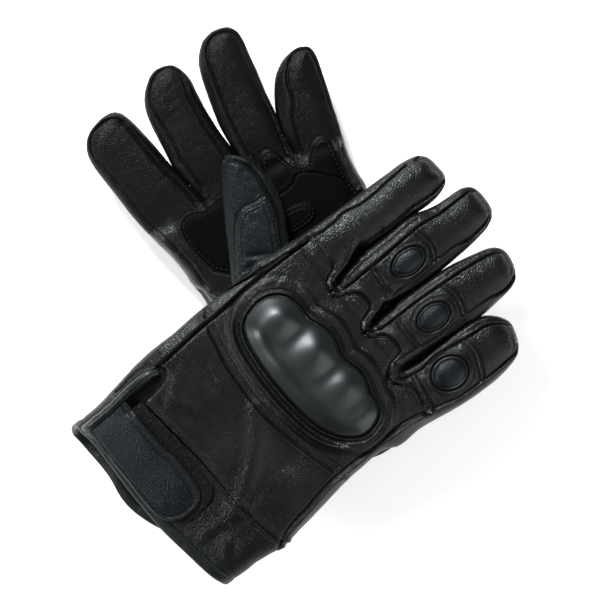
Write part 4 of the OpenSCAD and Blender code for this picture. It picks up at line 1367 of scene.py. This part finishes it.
def build_pads(s, side):
    for i in (1, 2, 3):
        cx, cy, ra, rb = PADS[i]
        cx *= SCRUNCH[i] if side == "left" else 1
        rings, seg = 14, 56
        v = []
        for k in range(rings + 1):
            r = k / rings
            for j in range(seg):
                a = 2 * math.pi * j / seg
                v.append((cx + ra * r * math.cos(a), cy + rb * r * math.sin(a), r))
        v = np.array(v)
        r = v[:, 2].copy()
        q = np.stack([v[:, 0], v[:, 1], np.full(len(v), 16.0)], 1)
        p = from_finger(q, i, side, tip=False)
        z = s.top(p[:, 0], p[:, 1])
        zc = s.top(p[:1, 0], p[:1, 1])[0]
        z = 0.6 * z + 0.4 * zc
        dome = 2.0 * (1 - r**2.4) ** 0.6 + 0.25 - 1.0 * smooth01(r, 0.93, 1.0)
        p[:, 2] = z + dome
        f = []
        for k in range(rings):
            for j in range(seg):
                f.append((k * seg + j, (k + 1) * seg + j, (k + 1) * seg + (j + 1) % seg, k * seg + (j + 1) % seg))
        f = np.array(f)
        # one point at the centre
        used = np.arange(seg, len(p))
        centre = len(used)
        v2 = np.vstack([p[used], p[:1]])
        f2 = f[seg:] - seg
        fan = np.array([(j, (j + 1) % seg, centre, centre) for j in range(0, seg)])
        quad_fan = np.array([(centre, j, (j + 1) % seg, (j + 2) % seg) for j in range(0, seg, 2)])
        emit(f"{FINGERS[i]}_pad", side, v2, np.vstack([f2, quad_fan]), PATCH, body=f"{side}_hand", nodes=(f"{FINGERS[i]}_knuckle_pad",),
             slot="patch_leather", fill=0.8)
        ring_q = np.array([(cx + (ra + 0.1) * math.cos(a), cy + (rb + 0.1) * math.sin(a), 16.0) for a in np.linspace(0, 2 * math.pi, 72, endpoint=False)])
        rp = from_finger(ring_q, i, side, tip=False)
        rp[:, 2] = 0.6 * s.top(rp[:, 0], rp[:, 1]) + 0.4 * zc + 0.35
        tv, tf, _ = tube(rp, 0.55 if i == 3 else 0.42, 8, closed=True)
        vol = (tv[tf[:, 0]] * np.cross(tv[tf[:, 1]], tv[tf[:, 2]])).sum() + (tv[tf[:, 0]] * np.cross(tv[tf[:, 2]], tv[tf[:, 3]])).sum()
        emit(f"{FINGERS[i]}_pad_piping", side, tv, tf if vol > 0 else tf[:, ::-1], BINDING, body=f"{side}_hand")


def to_thumb(points):
    """Lines seen on the left thumb from straight above, in the thumb's own frame."""
    p = np.array(points, float)
    c = np.array([-34.1, -4.5])
    p = c + (p - c) / 1.015
    a = math.radians(THUMB_TURN["left"])
    d = p - np.array(THUMB_AT["left"])
    return np.stack([d[:, 0] * math.cos(a) + d[:, 1] * math.sin(a), -d[:, 0] * math.sin(a) + d[:, 1] * math.cos(a)], 1)


THUMB_OUT = spline(to_thumb([(-7.5, 22.5), (0, 19.4), (10, 15), (20, 10.6), (30, 6.3), (40, 1.9), (47.5, -2.5), (51.3, -5.6), (52.4, -10), (50, -15), (45, -19.4), (37.5, -21.9),
                             (30, -23.5), (20, -23.1), (11.3, -21.3), (0, -16.9), (-5, -15), (-20, -8.5), (-35, -1), (-50, 6), (-52, 20), (-46, 30), (-34, 31), (-20, 27)]), 4, closed=True)
THUMB_SEAM = spline(to_thumb([(-40, 3), (-30, -1), (-15, -7), (-3, -11.3), (3, -13.5), (10, -16), (18, -17.5), (25, -18), (32, -18), (38, -17.2), (43, -15), (47, -12), (50.5, -7)]), 6)
THUMB_PATCH = spline(to_thumb([(-8, 17.8), (0, 14.3), (10, 9), (15.5, 5.8), (19.5, 2.5), (22, -1.2), (22.6, -5), (22, -10), (21.4, -16.3), (10, -14.6), (3, -12.2), (-3, -10), (-20, -4),
                               (-36, 4), (-34, 26), (-20, 22.5)]), 4, closed=True)


def build_thumb(s, side):
    h = 1.05
    ax = [np.arange(-14.0, 106.0, h), np.arange(-26.0, 22.0, h), np.arange(-3.0, 16.5, h)]
    p = np.stack(np.meshgrid(*ax, indexing="ij"), -1)
    d2 = sd_poly(p[:, :, 0, :2], THUMB_OUT)[:, :, None]
    e = 12.0
    r = np.maximum(d2 + e, 0) / e
    hh = THUMB_T / 2 - 0.1
    f = ((r**2.4 + (np.abs(p[..., 2] - THUMB_T / 2) / hh) ** 2.4) ** (1 / 2.4) - 1) * hh
    v, q, _ = surface_nets(f, np.array([-14.0, -26.0, -3.0]), h)
    v = relax(v, q, 2, 0.35)
    v, q = subdivide(v, q, 1)
    base = v.copy()
    n = vertex_normals(v, q)
    low = smooth01(-n[:, 2], 0.05, 0.3)
    d2 = sd_poly(v[:, :2], THUMB_OUT)
    x = v[:, 0]
    d = 0.45 * fbm(v, 22.0, 71, 2) + 0.25 * fbm(v, 7.0, 75, 2)
    d += smooth01(n[:, 2], 0.05, 0.3) * (groove(-d2 - 3.8, 1.2, 0.75) + 0.55 * np.exp(-(((-d2 - 1.9) / 1.3) ** 2)))
    dl, sg = d_line(v[:, :2], THUMB_SEAM)
    d += low * (groove(dl, 1.5, 0.85) + bump(dl * sg + 2.2, 0.9, 1.2) + groove(dl * sg + 4.0, 0.5, 0.6) + bump(dl * sg - 1.8, 0.35, 1.4))
    d += low * smooth01(x, 84, 94) * 0.3 * noise(v, 2.4, 77)
    d += low * 1.3 * np.clip(1 - (np.maximum(d2 + 12, 0) / 9.5) ** 2.5, 0, 1)
    dp = sd_poly(v[:, :2], THUMB_PATCH)
    on = smooth01(dl, 1.0, 3.0)
    d += low * on * (0.7 * (1 - smooth01(dp, -0.7, 0.5)) + groove(np.abs(dp - 0.9), 0.4, 0.5) + groove(np.abs(dp + 1.2), 0.4, 0.5) + groove(np.abs(dp + 3.2), 0.3, 0.5))
    rng = np.random.RandomState(31)
    for k in range(6):
        xc, am = rng.uniform(28, 88), rng.uniform(0.15, 0.4)
        xx = x - xc - rng.uniform(-0.3, 0.3) * v[:, 1] + noise(v, 8.0, 90 + k)
        d += -am * np.exp(-((xx / rng.uniform(0.9, 1.6)) ** 2)) * np.exp(-(((v[:, 1] - rng.uniform(-10, 8)) / 8) ** 2))
    v = v + n * d[:, None]
    v[:, 2] += 6.5 * (1 - smooth01(x, 0, 34))
    g = from_thumb(v, side)
    c = base[q].mean(1)
    low_face = n[q].mean(1)[:, 2] < -0.1
    part = np.where(c[:, 0] < 20, "gusset", "sleeve")
    part[(sd_poly(c[:, :2], THUMB_PATCH) < 0) & low_face] = "patch"
    ends = rigid(from_thumb([[2.0, 0, 6], [24.0, 0, 6]], side), side)
    mix = (f"{side}_hand", f"{side}_thumb", tuple(ends[0]), tuple(ends[1]))
    for nm, node, sl in (("gusset", "thumb_gusset", "leather"), ("sleeve", "thumb_sleeve", "leather"), ("patch", "thumb_patch", "patch_leather")):
        m = part == nm
        used, inv = np.unique(q[m], return_inverse=True)
        # the thumb's gusset and sleeve take the leather darkened as painted shade
        emit(f"thumb_{nm}", side, g[used], inv.reshape(-1, 4), PATCH if nm == "patch" else THUMB_SHADED_MAT, nodes=(node,), slot=sl, mix=mix, stiff=True)
    tree = BVHTree.FromPolygons(v.tolist(), q.tolist())
    t = Thread()
    line = resample(THUMB_PATCH, 1.0, True)
    for dd in (1.2, 3.2):
        sew(t, tree, shrink(line, THUMB_PATCH, dd), False, step=2.6, r=0.26, closed=True)
    tv, tf = t.mesh()
    emit("thumb_stitches", side, from_thumb(tv, side), tf, THREAD_MAT, mix=mix, stiff=True)


def shrink(line, poly, d):
    """A closed line moved inwards by d."""
    n2 = np.roll(line, -1, 0) - np.roll(line, 1, 0)
    n2 = np.stack([-n2[:, 1], n2[:, 0]], 1)
    n2 /= np.linalg.norm(n2, axis=1)[:, None] + 1e-9
    if np.median(sd_poly(line + n2 * 0.5, poly)) > 0:
        n2 = -n2
    q = line + n2 * d
    return q[sd_poly(q, poly) < -abs(d) * 0.85] if d > 0 else q[sd_poly(q, poly) > abs(d) * 0.85]


def build_stitches(s, side):
    hand = Thread()
    guard = resample(GUARD, 1.0, True)
    sew(hand, s.tree, shrink(guard, GUARD, -3.5), True, step=2.6, r=0.26, closed=True)
    for k in (1.8, 3.5):
        sew(hand, s.tree, offset(KNUCKLE_SEAM, k), True, step=2.6, r=0.26)
    sew(hand, s.tree, SEAM_IN, True, step=2.5, r=0.28)
    palm = resample(PALM_PATCH, 1.0, True)
    sew(hand, s.tree, shrink(palm, PALM_PATCH, 1.5), False, step=2.6, r=0.26, closed=True)
    tab = resample(PALM_TAB, 1.0)
    for k in (1.0, 2.8):
        sew(hand, s.tree, offset(tab, k if sd_poly(offset(tab, 1.0)[20:21], np.array(PALM_TAB))[0] < 0 else -k), False, step=2.5, r=0.26)
    emit("hand_stitches", side, *hand.mesh(), THREAD_MAT, body=f"{side}_hand")
    for i in BARS:
        t = Thread()
        for line in BARS[i]:
            sew(t, s.tree, on_side(line, side, i), True, step=2.4, r=0.25)
        cx, cy, ra, rb = PADS[i]
        cx *= SCRUNCH[i] if side == "left" else 1
        if i < 3:
            a = np.linspace(0, 2 * math.pi, 60, endpoint=False)
            q = np.stack([cx + (ra + 3.4) * np.cos(a), cy + (rb + 3.0) * np.sin(a), np.full_like(a, 16.0)], 1)
            sew(t, s.tree, from_finger(q, i, side)[:, :2], True, step=2.4, r=0.24, closed=True)
        emit(f"{FINGERS[i]}_stitches", side, *t.mesh(), THREAD_MAT, mix=finger_mix(i, side))


def build_piping(s, side):
    """The rolled edge along the cuff's slit."""
    p = resample(PIPING, 1.5)
    z = s.top(p[:, 0], p[:, 1])
    for _ in range(6):
        z[1:-1] = (z[:-2] + z[1:-1] + z[2:]) / 3
    t = np.linspace(0, 1, len(p))
    r = 2.5 - 0.7 * smooth01(t, 0.9, 1.0) - 0.5 * smooth01(1 - t, 0.93, 1.0)
    path = np.c_[p, z + 2.7]
    v, f, cap = tube(path, r, 16)
    v += 0.14 * noise(v, 3.5, 12)[:, None]
    a, b, sides, n = cap
    # round the two ends by pulling rings of shrinking size past them
    rings, faces = [], []
    last = v[(n - 1) * sides : n * sides]
    d = path[-1] - path[-2]
    d /= np.linalg.norm(d)
    first = v[:sides]
    d0 = path[0] - path[1]
    d0 /= np.linalg.norm(d0)
    base = n * sides
    vs = [v[: n * sides]]
    fs = [f]
    for ring, centre, dirn, rad, start, flip in ((last, path[-1], d, r[-1], (n - 1) * sides, False), (first, path[0], d0, r[0], 0, True)):
        prev = start
        for k in (1, 2, 3, 4):
            g = k * math.pi / 2 / 4.3
            new = centre + (ring - centre) * math.cos(g) + dirn * rad * math.sin(g)
            vs.append(new)
            cur = base
            base += sides
            q = [(prev + j, prev + (j + 1) % sides, cur + (j + 1) % sides, cur + j) for j in range(sides)]
            q = np.array(q)
            fs.append(q[:, ::-1] if not flip else q)
            prev = cur
        q = [(prev, prev + j, prev + j + 1, prev + j + 2) for j in range(1, sides - 2, 2)]
        q = np.array(q)
        fs.append(q[:, ::-1] if not flip else q)
    v, f = np.vstack(vs), np.vstack(fs)
    vol = (v[f[:, 0]] * np.cross(v[f[:, 1]], v[f[:, 2]])).sum() + (v[f[:, 0]] * np.cross(v[f[:, 2]], v[f[:, 3]])).sum()
    emit("slit_piping", side, v, f if vol > 0 else f[:, ::-1], BINDING, body=f"{side}_hand")


for side in ("right", "left"):
    skin = build_skin(side)
    emit_skin(skin, side)
    build_lining(skin, side)
    build_guard(skin, side)
    build_cuff_parts(skin, side)
    build_binding(skin, side)
    build_piping(skin, side)
    build_pads(skin, side)
    build_thumb(skin, side)
    build_stitches(skin, side)

# ---------------------------------------------------------------- floor, light, camera
def floor():
    me = bpy.data.meshes.new("floor")
    me.from_pydata([(-4, -4, 0), (4, -4, 0), (4, 4, 0), (-4, 4, 0)], [], [(0, 1, 2, 3)])
    m, nt, b = nodes_of("floor")
    b.inputs["Base Color"].default_value = (0.92, 0.92, 0.92, 1)
    b.inputs["Roughness"].default_value = 0.7
    # a light table: its own faint glow thins the shadows out
    b.inputs["Emission Color"].default_value = (1, 1, 1, 1)
    b.inputs["Emission Strength"].default_value = 0.42
    ob = add_object("floor", me, m)


floor()
CAM_AT = Vector((0.0147, -0.0268, 0.907))
RIGHT_AX, UP_AX = Vector((0.766, -0.643, 0)), Vector((0.643, 0.766, 0))


def lamp(name, where, size, power, aim=(0, 0, 0.03), colour=(1, 1, 1)):
    """An area light placed in picture axes: right, up and height, in metres."""
    d = bpy.data.lights.new(name, "AREA")
    d.shape = "RECTANGLE"
    d.size, d.size_y = size
    d.energy = power
    d.color = colour
    ob = bpy.data.objects.new(name, d)
    bpy.context.scene.collection.objects.link(ob)
    at = RIGHT_AX * where[0] + UP_AX * where[1] + Vector((0, 0, where[2]))
    ob.location = at
    ob.rotation_euler = (Vector(aim) - at).to_track_quat("-Z", "Y").to_euler()
    return ob


lamp("key", (-0.36, 0.80, 0.78), (0.22, 0.22), 29.0)
lamp("fill", (0.95, -0.66, 0.75), (1.3, 1.3), 15.0)
lamp("low left", (-0.95, -0.32, 0.55), (0.25, 0.25), 8.0)
lamp("top", (0.1, 0.1, 1.3), (0.7, 0.7), 1.5)
world = bpy.data.worlds.new("studio")
bpy.context.scene.world = world
world.use_nodes = True
world.node_tree.nodes["Background"].inputs[0].default_value = (1, 1, 1, 1)
world.node_tree.nodes["Background"].inputs[1].default_value = 0.1

cam = bpy.data.cameras.new("camera")
cam.sensor_width = 36
cam.lens = 98.4
cam.clip_start, cam.clip_end = 0.05, 20
co = bpy.data.objects.new("camera", cam)
bpy.context.scene.collection.objects.link(co)
from mathutils import Matrix

m = Matrix((RIGHT_AX.normalized(), UP_AX.normalized(), Vector((0, 0, 1)))).transposed().to_4x4()
m.translation = CAM_AT
co.matrix_world = m
bpy.context.scene.camera = co

bpy.context.scene.view_settings.view_transform = "Standard"
